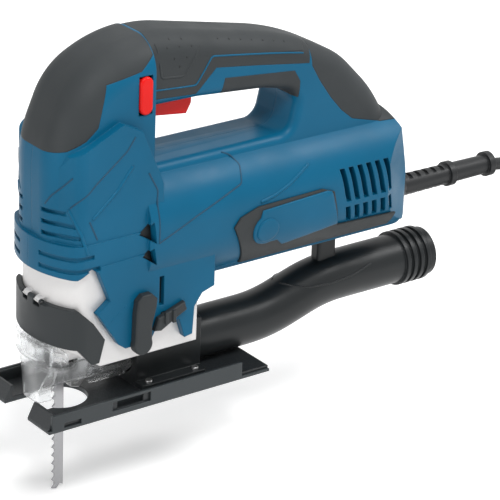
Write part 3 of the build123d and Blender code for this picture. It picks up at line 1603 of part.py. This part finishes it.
# ---------------------------------------------------------------- files
pieces = {
    "base_plate": base_plate,
    "glide_shoe": glide_shoe,
    "tilt_segment": tilt_segment,
    "base_screws": base_screws,
    "dust_tube": dust_tube,
    "gear_case": gear_case,
    "plunger_bush_lower": plunger_bush_lower,
    "plunger_bush_upper": plunger_bush_upper,
    "plunger": plunger,
    "yoke": yoke,
    "blade_clamp": blade_clamp,
    "clamp_sleeve": clamp_sleeve,
    "saw_blade": saw_blade,
    "roller_fork": roller_fork,
    "guide_roller": guide_roller,
    "roller_pin": roller_pin,
    "fork_pin": fork_pin,
    "drive_gear": drive_gear,
    "crank_pin": crank_pin,
    "crank_roller": crank_roller,
    "gear_stud": gear_stud,
    "bearing_plate": bearing_plate,
    "front_bearing": front_bearing,
    "rear_bearing": rear_bearing,
    "armature_shaft": armature_shaft,
    "armature_core": armature_core,
    "armature_windings": armature_windings,
    "commutator": commutator,
    "cooling_fan": cooling_fan,
    "stator_core": stator_core,
    "field_coils": field_coils,
    "carbon_brushes": carbon_brushes,
    "brush_springs": brush_springs,
    "brush_holders": brush_holders,
    "housing_left": housing_left,
    "housing_right": housing_right,
    "front_grip": front_grip,
    "top_grip": top_grip,
    "handle_band": handle_band,
    "rear_grip": rear_grip,
    "finger_pad": finger_pad,
    "side_bumper_left": side_bumper_left,
    "side_bumper_right": side_bumper_right,
    "housing_screws": housing_screws,
    "trigger": trigger,
    "lock_button": lock_button,
    "switch_module": switch_module,
    "electronics_module": electronics_module,
    "orbital_lever": orbital_lever,
    "blower_switch": blower_switch,
    "release_lever": release_lever,
    "release_pin": release_pin,
    "dust_hood": dust_hood,
    "cord_clamp": cord_clamp,
    "inner_lead": inner_lead,
    "cord_boot": cord_boot,
    "cord_lead": cord_lead,
    "cord_coil": cord_coil,
    "cord_tail": cord_tail,
    "plug": plug,
}
for name, piece in pieces.items():
    save(piece, name)
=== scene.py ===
"""Corded jigsaw: materials, free cord, moulded detail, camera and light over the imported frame.

Blender works in metres, and points of the tool are given in millimetres: X runs from its front to its
back, Y from its left side to its right, and Z up from the sole.
"""

import json
from math import cos, pi, radians, sin

import bmesh
import bpy
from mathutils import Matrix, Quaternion, Vector
from mathutils.bvhtree import BVHTree

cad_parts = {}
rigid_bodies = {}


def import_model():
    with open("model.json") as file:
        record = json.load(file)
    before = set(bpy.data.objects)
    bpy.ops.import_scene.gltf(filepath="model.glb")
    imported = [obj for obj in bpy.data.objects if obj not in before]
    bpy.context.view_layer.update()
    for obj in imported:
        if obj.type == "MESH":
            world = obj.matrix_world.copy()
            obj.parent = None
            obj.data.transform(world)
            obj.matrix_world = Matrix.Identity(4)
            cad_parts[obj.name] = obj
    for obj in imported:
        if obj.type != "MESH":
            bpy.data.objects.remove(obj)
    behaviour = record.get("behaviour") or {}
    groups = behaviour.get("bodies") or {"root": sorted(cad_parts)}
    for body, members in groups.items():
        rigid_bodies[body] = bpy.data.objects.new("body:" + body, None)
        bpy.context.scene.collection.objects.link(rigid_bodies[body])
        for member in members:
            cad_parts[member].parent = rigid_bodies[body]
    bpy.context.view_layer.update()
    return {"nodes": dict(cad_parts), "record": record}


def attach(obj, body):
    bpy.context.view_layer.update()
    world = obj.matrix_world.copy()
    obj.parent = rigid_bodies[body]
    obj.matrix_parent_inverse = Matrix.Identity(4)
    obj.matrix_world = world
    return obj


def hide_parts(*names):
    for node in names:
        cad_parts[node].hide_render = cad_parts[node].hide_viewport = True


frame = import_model()
MM = 0.001
LEFT, RIGHT = -1, 1
BLADE_X = -46
FLOOR = -54 * MM


def meshes_of(node):
    """The mesh objects of a CAD node."""
    return [part for part in [node, *node.children_recursive] if part.type == "MESH"]


# ---------------------------------------------------------------- materials
EDGE_ROUND = 0.9 * MM  # the radius that sharp edges seem to have in the light
EDGE_SAMPLES = 6
NOISE_RANGE = (0.3, 0.7)  # the middle of a noise texture's 0 to 1, where nearly all of its values lie
TINT_RANGE = (0.35, 0.65)
DARK_TONE, LIGHT_TONE = 0.93, 1.06
TONE_SCALE, GLOSS_SCALE, GRAIN_SCALE = 18, 60, 2600  # noise cells per metre
GLOSS_DRIFT = 0.06
MARKS_SCALE = 900
GLOSS_BELOW, GLOSS_ABOVE = 0.08, 0.1  # how far a metal's roughness drifts each way
ROLLED = (1, 1, 8)  # marks that lie level
WOUND = (1, 30, 30)  # marks that run along the armature
SHELL_BLUE = (0.002, 0.093, 0.182)


def new_material(name, colour, roughness, metallic=0.0):
    """A Principled material with its plain values on the shader's own sockets."""
    material = bpy.data.materials.new(name)
    material.use_nodes = True
    shader = material.node_tree.nodes["Principled BSDF"]
    shader.inputs["Base Color"].default_value = (*colour, 1)
    shader.inputs["Roughness"].default_value = roughness
    shader.inputs["Metallic"].default_value = metallic
    return material, shader


def add_node(owner, kind, **values):
    """A node of a material or a world, with some of its inputs set."""
    node = owner.node_tree.nodes.new(kind)
    for key, value in values.items():
        node.inputs[key.replace("_", " ")].default_value = value
    return node


def noise(material, scale, detail=3.0, stretch=(1, 1, 1)):
    """A noise texture fixed to the object, packed closer along each axis by its stretch."""
    links = material.node_tree.links
    coordinates = add_node(material, "ShaderNodeTexCoord")
    mapping = add_node(material, "ShaderNodeMapping", Scale=stretch)
    texture = add_node(material, "ShaderNodeTexNoise", Scale=scale, Detail=detail)
    links.new(coordinates.outputs["Object"], mapping.inputs["Vector"])
    links.new(mapping.outputs["Vector"], texture.inputs["Vector"])
    return texture


def add_bump(material, shader, texture, distance, strength):
    """Bump from a texture's factor, its height in metres, over edges that look slightly rounded."""
    links = material.node_tree.links
    bump = add_node(material, "ShaderNodeBump", Strength=strength, Distance=distance)
    edge = add_node(material, "ShaderNodeBevel", Radius=EDGE_ROUND)
    edge.samples = EDGE_SAMPLES
    links.new(edge.outputs["Normal"], bump.inputs["Normal"])
    links.new(texture.outputs[0], bump.inputs["Height"])
    links.new(bump.outputs["Normal"], shader.inputs["Normal"])


def vary(material, shader, texture, socket, low, high):
    """Drive a socket between two values by a texture."""
    links = material.node_tree.links
    limits = {"From_Min": NOISE_RANGE[0], "From_Max": NOISE_RANGE[1], "To_Min": low, "To_Max": high}
    span = add_node(material, "ShaderNodeMapRange", **limits)
    links.new(texture.outputs[0], span.inputs["Value"])
    links.new(span.outputs["Result"], shader.inputs[socket])


def tint(material, shader, texture, dark, light):
    """Mix the base colour between two tones by a texture."""
    links = material.node_tree.links
    ramp = add_node(material, "ShaderNodeValToRGB")
    for stop, position, tone in zip(ramp.color_ramp.elements, TINT_RANGE, (dark, light)):
        stop.position = position
        stop.color = (*tone, 1)
    links.new(texture.outputs[0], ramp.inputs["Fac"])
    links.new(ramp.outputs["Color"], shader.inputs["Base Color"])


def moulded(name, colour, roughness, grain=0.04 * MM, specular=0.32):
    """Moulded plastic or rubber: faint tone drift, spark-eroded grain, uneven gloss."""
    material, shader = new_material(name, colour, roughness)
    shader.inputs["Specular IOR Level"].default_value = specular
    dark = tuple(DARK_TONE * channel for channel in colour)
    light = tuple(LIGHT_TONE * channel for channel in colour)
    tint(material, shader, noise(material, TONE_SCALE), dark, light)
    gloss = noise(material, GLOSS_SCALE)
    vary(material, shader, gloss, "Roughness", roughness - GLOSS_DRIFT, roughness + GLOSS_DRIFT)
    add_bump(material, shader, noise(material, GRAIN_SCALE, detail=2), grain, strength=0.5)
    return material


def metal(name, colour, roughness, metallic=1.0, stretch=(1, 1, 1), grain=0.01 * MM):
    """Ground, rolled or blasted metal: fine directional marks in gloss and bump."""
    material, shader = new_material(name, colour, roughness, metallic)
    marks = noise(material, MARKS_SCALE, detail=4, stretch=stretch)
    vary(material, shader, marks, "Roughness", roughness - GLOSS_BELOW, roughness + GLOSS_ABOVE)
    add_bump(material, shader, marks, grain, strength=0.4)
    return material


def clear_plastic(name):
    """Clear polycarbonate with a faint smoke tone, slightly wavy."""
    material, shader = new_material(name, (0.93, 0.95, 0.96), 0.08)
    shader.inputs["Transmission Weight"].default_value = 0.9
    shader.inputs["IOR"].default_value = 1.2
    shader.inputs["Alpha"].default_value = 0.55
    vary(material, shader, noise(material, 40), "Roughness", 0.05, 0.16)
    add_bump(material, shader, noise(material, 60, detail=1), 0.4 * MM, strength=0.3)
    return material


materials = {
    "shell_blue": moulded("moulded blue shell", SHELL_BLUE, 0.38, specular=0.15),
    # painted shade: a darker blue for the beads along the shells' creases, in place of the shade that
    # falls in them
    "painted_crease_shade": moulded("moulded blue shell shade", (0.002, 0.045, 0.092), 0.45),
    "rubber_black": moulded("soft rubber", (0.026, 0.030, 0.032), 0.58, grain=0.08 * MM, specular=0.25),
    "plastic_grey": moulded("grey plastic", (0.024, 0.028, 0.030), 0.45, specular=0.22),
    "plastic_black": moulded("black plastic", (0.011, 0.013, 0.014), 0.36, specular=0.25),
    "shoe_black": moulded("glide plastic", (0.028, 0.034, 0.037), 0.40),
    "plate_dark": metal("dark coated steel", (0.014, 0.017, 0.019), 0.42, metallic=0.2),
    "red_plastic": moulded("red plastic", (0.66, 0.006, 0.004), 0.34, grain=0.01 * MM, specular=0.2),
    "case_silver": metal("die cast case", (0.62, 0.61, 0.605), 0.42, metallic=0.35, grain=0.04 * MM),
    "hood_clear": clear_plastic("clear hood"),
    "steel": metal("ground steel", (0.55, 0.55, 0.55), 0.30, stretch=ROLLED),
    "sleeve_dark": metal("blackened steel", (0.03, 0.03, 0.03), 0.40, metallic=0.8),
    "blade_steel": metal("rolled blade steel", (0.34, 0.34, 0.35), 0.34, metallic=0.9, stretch=ROLLED),
    "bronze": metal("sintered bronze", (0.6, 0.38, 0.18), 0.45),
    "copper": metal("enamelled wire", (0.7, 0.3, 0.14), 0.35, stretch=WOUND),
    "carbon": moulded("pressed carbon", (0.02, 0.02, 0.02), 0.7),
    "cord_black": moulded("cord sheath", (0.010, 0.011, 0.012), 0.42),
    "plug_black": moulded("plug plastic", (0.010, 0.011, 0.012), 0.40),
}
slot_of = {entry["node"]: entry["material_slot"] for entry in frame["record"]["subparts"]}
for node_name, node in frame["nodes"].items():
    for part in meshes_of(node):
        for material_slot in part.material_slots:
            material_slot.material = materials[slot_of[node_name]]


# ---------------------------------------------------------------- curves and pieces
def round_rod(name, radius, material, rounding):
    """A curve without splines yet: each spline that it gets is a round rod with closed ends."""
    curve = bpy.data.curves.new(name, "CURVE")
    curve.dimensions = "3D"
    curve.bevel_depth = radius
    curve.bevel_resolution = rounding
    curve.use_fill_caps = True
    curve.materials.append(material)
    return curve


def add_spline(curve, points, resolution):
    """One open NURBS spline of a curve, with the points as its control points."""
    spline = curve.splines.new("NURBS")
    spline.points.add(len(points) - 1)
    for control, point in zip(spline.points, points):
        control.co = (*point, 1)
    spline.order_u = 3
    spline.use_endpoint_u = True
    spline.resolution_u = resolution


def add_piece(name, data, body):
    """An object of the tool that rides a body, with the material that its data carries."""
    piece = bpy.data.objects.new(name, data)
    bpy.context.collection.objects.link(piece)
    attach(piece, body)
    return piece


def add_band(mesh, first, second):
    """A ring of faces between two loops of vertices."""
    for index in range(len(first)):
        following = (index + 1) % len(first)
        mesh.faces.new((first[index], first[following], second[following], second[index]))


def add_mesh_piece(name, mesh, material):
    """A piece fixed to the housing, from a closed bmesh."""
    bmesh.ops.recalc_face_normals(mesh, faces=mesh.faces)
    data = bpy.data.meshes.new(name)
    mesh.to_mesh(data)
    mesh.free()
    data.materials.append(material)
    add_piece(name, data, "tool")


# ---------------------------------------------------------------- free cord
CORD_RADIUS = 3.75 * MM
COIL_CENTRE = (350 * MM, -17.75 * MM)
COIL_RADIUS = 42 * MM
COIL_START = radians(45)
COIL_TURNS = 7.94
TURN_POINTS = 16
STEP_SHARE = 0.3  # the part of a turn in which the cord moves over to the next column
COLUMNS_OUT, COLUMNS_IN = (-1, 0, 1), (1, 0, -1)
COIL_LAYERS = (COLUMNS_IN, COLUMNS_OUT, COLUMNS_IN)
# from the boot down to the floor and to the coil
LEAD = [
    (227, 0, 76),
    (280, 0, 76),
    (313, 13, 47),
    (320, 26, 8),
    (326, 29, -22),
    (341, 32, -40.5),
    (364, 31.5, -50.25),
    (386, 19, -50.25),
]
# from the coil's top layer, round the back, to the plug that lies on the coil
TAIL = [
    (367, 20, -27.75),
    (388, 9, -27.75),
    (399, -10, -27.75),
    (397, -32, -27.75),
    (383, -49.5, -24.5),
    (363, -56, -21.3),
    (345, -55, -21.3),
]


def coil_points():
    """The turns from the bottom layer up: a whole turn in each column, then an eased step to the next."""
    pitch = 2 * CORD_RADIUS
    places = []
    for layer, columns in enumerate(COIL_LAYERS):
        places += [Vector((column, layer)) for column in columns]
    points = []
    for step in range(1, int(COIL_TURNS * TURN_POINTS)):
        turn = step / TURN_POINTS
        index = int(turn + STEP_SHARE / 2)
        eased = min((turn + STEP_SHARE / 2 - index) / STEP_SHARE, 1)
        eased *= eased * (3 - 2 * eased)
        column, layer = places[max(index - 1, 0)].lerp(places[index], eased)
        angle = COIL_START - 2 * pi * turn
        radius = COIL_RADIUS + column * pitch
        x = COIL_CENTRE[0] + radius * cos(angle)
        y = COIL_CENTRE[1] + radius * sin(angle)
        points.append((x, y, FLOOR + CORD_RADIUS + layer * pitch))
    return points


def metres(points):
    """Points in millimetres as points in metres."""
    return [tuple(MM * value for value in point) for point in points]


cord_curve = round_rod("free_cord", CORD_RADIUS, materials["cord_black"], rounding=5)
add_spline(cord_curve, metres(LEAD) + coil_points() + metres(TAIL), resolution=8)
cord = add_piece("free_cord", cord_curve, "tool")
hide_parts("cord_lead", "cord_coil", "cord_tail")


# ---------------------------------------------------------------- moulded detail on the shells and pads, with painted shade in creases, dimples and inlets
BEAD_SPACING = 2.5 * MM
PLATE_SPACING = 3  # in millimetres, like the outlines
PLATE_ROOT = -0.4 * MM  # the rim starts under the surface that carries the plate
PLATE_EDGE = [(1.0, 0.5), (0.985, 0.9), (0.96, 1.0)]  # shares of the outline and of the height
PLATE_TOP = (0.8, 0.6, 0.4, 0.2)  # shares of the outline
OUTSIDE = 37 * MM  # beyond the housing's sides, where a plate's points start
# the dark plates of painted shade in the inlets: how far out they lie, and how thick they are
INLET_DEPTH = 28.3 * MM  # from the tool's middle plane
INLET_SHADE_THICKNESS = 0.3 * MM
# x, y, z on the right side, mirrored to the left where a piece has both
CREASES = [
    [(-5, 34, 96), (21, 34, 107), (51, 30, 117), (54, 23, 125), (51, 19, 130), (46, 17.5, 132)],
    [(-5, 34, 96), (-4.5, 31.5, 114), (-4, 30, 125), (-10, 30, 136)],
    [(-56, 25, 124), (-43.5, 30, 136), (-24, 30, 151), (-19, 30, 158)],
    [(-55, 26, 141), (-58, 22, 136), (-62, 15.5, 129), (-63, 12, 124)],
    [(-47, 30, 116), (-42, 30, 105)],
]
RIBS = [
    [(-45, 30, 117), (-29.5, 30, 130), (-20, 30, 142)],
    [(-56, 24, 123), (-52, 29, 110), (-48.5, 31, 98)],
    [(62, 34, 105), (71.5, 34, 107), (82, 33, 111), (90, 31, 115), (97, 29, 118.5)],
]
PAD_RIM = [(1.5, 17, 202), (4.5, 19, 182.5), (19, 19, 181), (30, 18, 196)]
PAD_SEAM = [
    (-2, 19, 176.5),
    (27, 19, 174.5),
    (31, 19, 180),
    (37, 19, 189),
    (66, 19, 185),
    (100, 19, 180),
]
TUBE_CREASE = [
    (100, 4, 38),
    (106, 9, 35.5),
    (114, 12.5, 33.5),
    (130, 14, 33),
    (146, 14, 34.5),
    (160, 12.5, 38),
]
# where the top pad's dimples get black dashes of painted shade
DIMPLES = [
    (11.5, 16, 203),
    (19.5, 16, 202),
    (8.5, 18, 198.5),
    (16.5, 18, 198),
    (24.5, 18, 197),
    (12.5, 19, 192),
    (20.5, 19, 191.5),
    (16, 19, 187),
]
DIMPLE_ROW = [(44 + 7.5 * step, 16, 198.5 - 1.6 * step) for step in range(7)]
DIMPLE_HALF = 0.3
# x, z of each mark's lower end, how far out they start, and the way to the upper end
SCALE_MARKS = [(-33, 56), (-29, 59.5), (-25, 62), (-20.5, 64)]
SCALE_SIDE = 31.5
SCALE_RUN, SCALE_RISE = 1.2, 1.6
# x, z on both sides: a bare panel with a bare disc, and the inlets in front of it
LABEL_CORNERS = [(62.5, 100.5), (110, 103), (116.5, 79.5), (79, 73), (74, 79)]
LABEL_HEIGHT = 0.9 * MM
BADGE_CENTRE = Vector((66, 88))
BADGE_RADIUS = 7.4
BADGE_CORNERS = 20
BADGE_HEIGHT = 1.5 * MM
CUT_OUT_RADIUS = 9.6  # the panel's edge runs round the disc, from below it over its front to its top
CUT_OUT_ANGLES = [radians(-70 - 17 * step) for step in range(11)]
INLETS = [
    [(30, 102), (38, 108.5), (39.5, 96)],
    [(32, 89), (38, 93.5), (40.5, 83)],
    [(43.5, 58), (46.5, 58), (46.5, 75), (43.5, 75)],
]


def surface_of(*names):
    """A search tree over the surfaces of some CAD nodes."""
    merged = bmesh.new()
    for name in names:
        for part in meshes_of(frame["nodes"][name]):
            merged.from_mesh(part.data)
    tree = BVHTree.FromBMesh(merged)
    merged.free()
    return tree


def on_surface(tree, point, lift):
    """The nearest point of a surface, moved out along its normal."""
    place, normal, _, _ = tree.find_nearest(point)
    return place + lift * normal


def beads(name, runs, tree, radius, lift, material, body="tool", sides=(LEFT, RIGHT)):
    """Fine rounded lines laid along a surface on the tool's sides, as one piece."""
    curve = round_rod(name, radius, materials[material], rounding=2)
    for side in sides:
        for run in runs:
            corners = [Vector((x, side * y, z)) * MM for x, y, z in run]
            path = []
            for start, end in zip(corners, corners[1:]):
                count = max(2, int((end - start).length / BEAD_SPACING))
                path += [start.lerp(end, step / count) for step in range(count)]
            path.append(corners[-1])
            add_spline(curve, [on_surface(tree, point, lift) for point in path], resolution=2)
    add_piece(name, curve, body)


def side_plate(name, outline, side, tree, height, material):
    """A thin moulded plate on one side of the tool, draped over the surface with a rounded edge."""
    ends = [Vector(corner) for corner in outline]
    middle = sum(ends, Vector((0, 0))) / len(ends)
    corners = []
    for start, end in zip(ends, ends[1:] + ends[:1]):
        count = max(1, int((end - start).length / PLATE_SPACING))
        corners += [start.lerp(end, step / count) for step in range(count)]
    rings = [(1.0, PLATE_ROOT)]
    rings += [(share, rise * height) for share, rise in PLATE_EDGE]
    rings += [(share, height) for share in PLATE_TOP]
    mesh = bmesh.new()
    loops = []
    for share, lift in rings:
        spots = [middle.lerp(corner, share) * MM for corner in corners]
        starts = [Vector((spot.x, side * OUTSIDE, spot.y)) for spot in spots]
        loops.append([mesh.verts.new(on_surface(tree, start, lift)) for start in starts])
    for outer, inner in zip(loops, loops[1:]):
        add_band(mesh, outer, inner)
    mesh.faces.new(loops[-1])
    mesh.faces.new(reversed(loops[0]))
    for face in mesh.faces:
        face.smooth = True
    add_mesh_piece(name, mesh, materials[material])


def inlet_floors(name, outlines, material):
    """Thin dark plates in the shallow air inlets on both sides, as one piece: painted shade for the
    inlets' dark insides.
    """
    mesh = bmesh.new()
    for side in (LEFT, RIGHT):
        for outline in outlines:
            corners = [((BLADE_X + x) * MM, z * MM) for x, z in outline]
            lower = [mesh.verts.new((x, side * INLET_DEPTH, z)) for x, z in corners]
            upper = [mesh.verts.new((x, side * (INLET_DEPTH + INLET_SHADE_THICKNESS), z)) for x, z in corners]
            mesh.faces.new(lower)
            mesh.faces.new(upper)
            add_band(mesh, lower, upper)
    add_mesh_piece(name, mesh, materials[material])


def on_circle(centre, radius, angles):
    """Corners on a circle, as x, z pairs."""
    return [tuple(centre + radius * Vector((cos(angle), sin(angle)))) for angle in angles]


shells = surface_of("housing_left", "housing_right")
covered_shells = surface_of("housing_left", "housing_right", "side_bumper_left", "side_bumper_right")
top_pad = surface_of("top_grip")
handle_pads = surface_of("top_grip", "handle_band")
tube = surface_of("dust_tube")
dimples = [[(x - DIMPLE_HALF, y, z), (x + DIMPLE_HALF, y, z)] for x, y, z in DIMPLES + DIMPLE_ROW]
scale_marks = [
    [(x, SCALE_SIDE, z), (x + SCALE_RUN, SCALE_SIDE, z + SCALE_RISE)] for x, z in SCALE_MARKS
]
# dark blue beads along the shells' creases: painted shade
beads("shell_creases", CREASES, shells, 0.55 * MM, -0.2 * MM, "painted_crease_shade")
beads("shell_ribs", RIBS, shells, 1.1 * MM, -0.4 * MM, "shell_blue")
beads("pad_rim", [PAD_RIM], top_pad, 0.9 * MM, -0.5 * MM, "rubber_black")
# black dashes in the top pad's dimples: painted shade
beads("pad_dimples", dimples, top_pad, 1.0 * MM, -0.75 * MM, "plastic_black")
beads("pad_seam", [PAD_SEAM], handle_pads, 0.5 * MM, -0.1 * MM, "shell_blue")
beads(
    "orbital_scale",
    scale_marks,
    shells,
    0.45 * MM,
    -0.3 * MM,
    "shell_blue",
    sides=(LEFT,),
)
beads(
    "tube_crease",
    [TUBE_CREASE],
    tube,
    0.7 * MM,
    -0.25 * MM,
    "plastic_black",
    body="base",
)

label_outline = LABEL_CORNERS + on_circle(BADGE_CENTRE, CUT_OUT_RADIUS, CUT_OUT_ANGLES)
badge_angles = [2 * pi / BADGE_CORNERS * step for step in range(BADGE_CORNERS)]
badge_outline = on_circle(BADGE_CENTRE, BADGE_RADIUS, badge_angles)
for side, side_name in ((LEFT, "left"), (RIGHT, "right")):
    panel, badge = "label_panel_" + side_name, "badge_disc_" + side_name
    side_plate(panel, label_outline, side, covered_shells, LABEL_HEIGHT, "shell_blue")
    side_plate(badge, badge_outline, side, covered_shells, BADGE_HEIGHT, "shell_blue")
# dark plates in the inlets: painted shade
inlet_floors("inlet_floors", INLETS, "plastic_black")


# ---------------------------------------------------------------- camera
AZIMUTH = radians(-37.3)
ELEVATION = radians(23.44)
ROLL = radians(-2.18)
TARGET = Vector((-31.3, -148.0, 140.4)) * MM
DISTANCE = 1370.5 * MM

away = Vector((sin(AZIMUTH) * cos(ELEVATION), -cos(AZIMUTH) * cos(ELEVATION), sin(ELEVATION)))
camera_data = bpy.data.cameras.new("camera")
camera_data.sensor_width = 36
camera_data.lens = 201.5
camera_data.clip_end = 10
camera = bpy.data.objects.new("camera", camera_data)
camera.rotation_mode = "QUATERNION"
camera.rotation_quaternion = away.to_track_quat("Z", "Y") @ Quaternion((0, 0, 1), -ROLL)
camera.location = TARGET + away * DISTANCE
bpy.context.collection.objects.link(camera)
bpy.context.scene.camera = camera


# ---------------------------------------------------------------- lamps, surroundings, floor
LAMP_AIM = (0.03, 0, 0.09)
SURROUND_LIGHT = 0.34  # strength of the white surroundings as they light the tool
SURROUND_SHOWN = 1.0  # and as the camera and reflections see them
FLOOR_SIZE = 6
FLOOR_GAP = 0.5 * MM
GLOW_REACH = (0.4, 2.0)  # distances from the tool between which the floor's glow grows
GLOW_STRENGTH = (0.34, 0.9)


def area_light(name, location, size, power):
    """A soft square lamp turned to the tool."""
    data = bpy.data.lights.new(name, "AREA")
    data.energy = power
    data.size = size
    lamp = bpy.data.objects.new(name, data)
    lamp.location = location
    lamp.rotation_euler = (Vector(location) - Vector(LAMP_AIM)).to_track_quat("Z", "Y").to_euler()
    bpy.context.collection.objects.link(lamp)


def seen_rays(tree):
    """A socket of a node tree that is 1 for camera, glossy and transmission rays, and otherwise 0."""
    path = tree.nodes.new("ShaderNodeLightPath")
    total = path.outputs["Is Camera Ray"]
    for ray in ("Is Glossy Ray", "Is Transmission Ray"):
        larger = tree.nodes.new("ShaderNodeMath")
        larger.operation = "MAXIMUM"
        tree.links.new(total, larger.inputs[0])
        tree.links.new(path.outputs[ray], larger.inputs[1])
        total = larger.outputs[0]
    return total


area_light("key", (-0.45, -1.0, 1.5), 0.5, 17)
area_light("front", (-1.3, -0.3, 0.4), 0.5, 4)
area_light("top", (0.3, 0.3, 1.6), 0.8, 8)
area_light("shoulder", (0.75, -0.5, 1.1), 0.5, 9)

world = bpy.data.worlds.new("studio")
world.use_nodes = True
bpy.context.scene.world = world
background = world.node_tree.nodes["Background"]
background.inputs["Color"].default_value = (1, 1, 1, 1)
brightness = add_node(world, "ShaderNodeMapRange", To_Min=SURROUND_LIGHT, To_Max=SURROUND_SHOWN)
world.node_tree.links.new(seen_rays(world.node_tree), brightness.inputs["Value"])
world.node_tree.links.new(brightness.outputs["Result"], background.inputs["Strength"])

bpy.ops.mesh.primitive_plane_add(size=FLOOR_SIZE, location=(0.05, 0, FLOOR - FLOOR_GAP))
floor = bpy.context.object
floor.name = "floor"
floor_material, floor_shader = new_material("floor", (0.9, 0.9, 0.9), 0.9)
floor_shader.inputs["Emission Color"].default_value = (1, 1, 1, 1)
# the glow grows away from the tool, where the lamps reach less, so the floor is white up to its edge
floor_links = floor_material.node_tree.links
floor_place = add_node(floor_material, "ShaderNodeTexCoord")
tool_distance = add_node(floor_material, "ShaderNodeVectorMath")
tool_distance.operation = "LENGTH"
glow = add_node(floor_material, "ShaderNodeMapRange", From_Min=GLOW_REACH[0], From_Max=GLOW_REACH[1])
glow.inputs["To Min"].default_value = GLOW_STRENGTH[0]
glow.inputs["To Max"].default_value = GLOW_STRENGTH[1]
shown = add_node(floor_material, "ShaderNodeMath")
shown.operation = "MULTIPLY"
floor_links.new(floor_place.outputs["Object"], tool_distance.inputs[0])
floor_links.new(tool_distance.outputs["Value"], glow.inputs["Value"])
floor_links.new(glow.outputs["Result"], shown.inputs[0])
floor_links.new(seen_rays(floor_material.node_tree), shown.inputs[1])
floor_links.new(shown.outputs[0], floor_shader.inputs["Emission Strength"])
floor.data.materials.append(floor_material)

scene = bpy.context.scene
scene.view_settings.view_transform = "Standard"
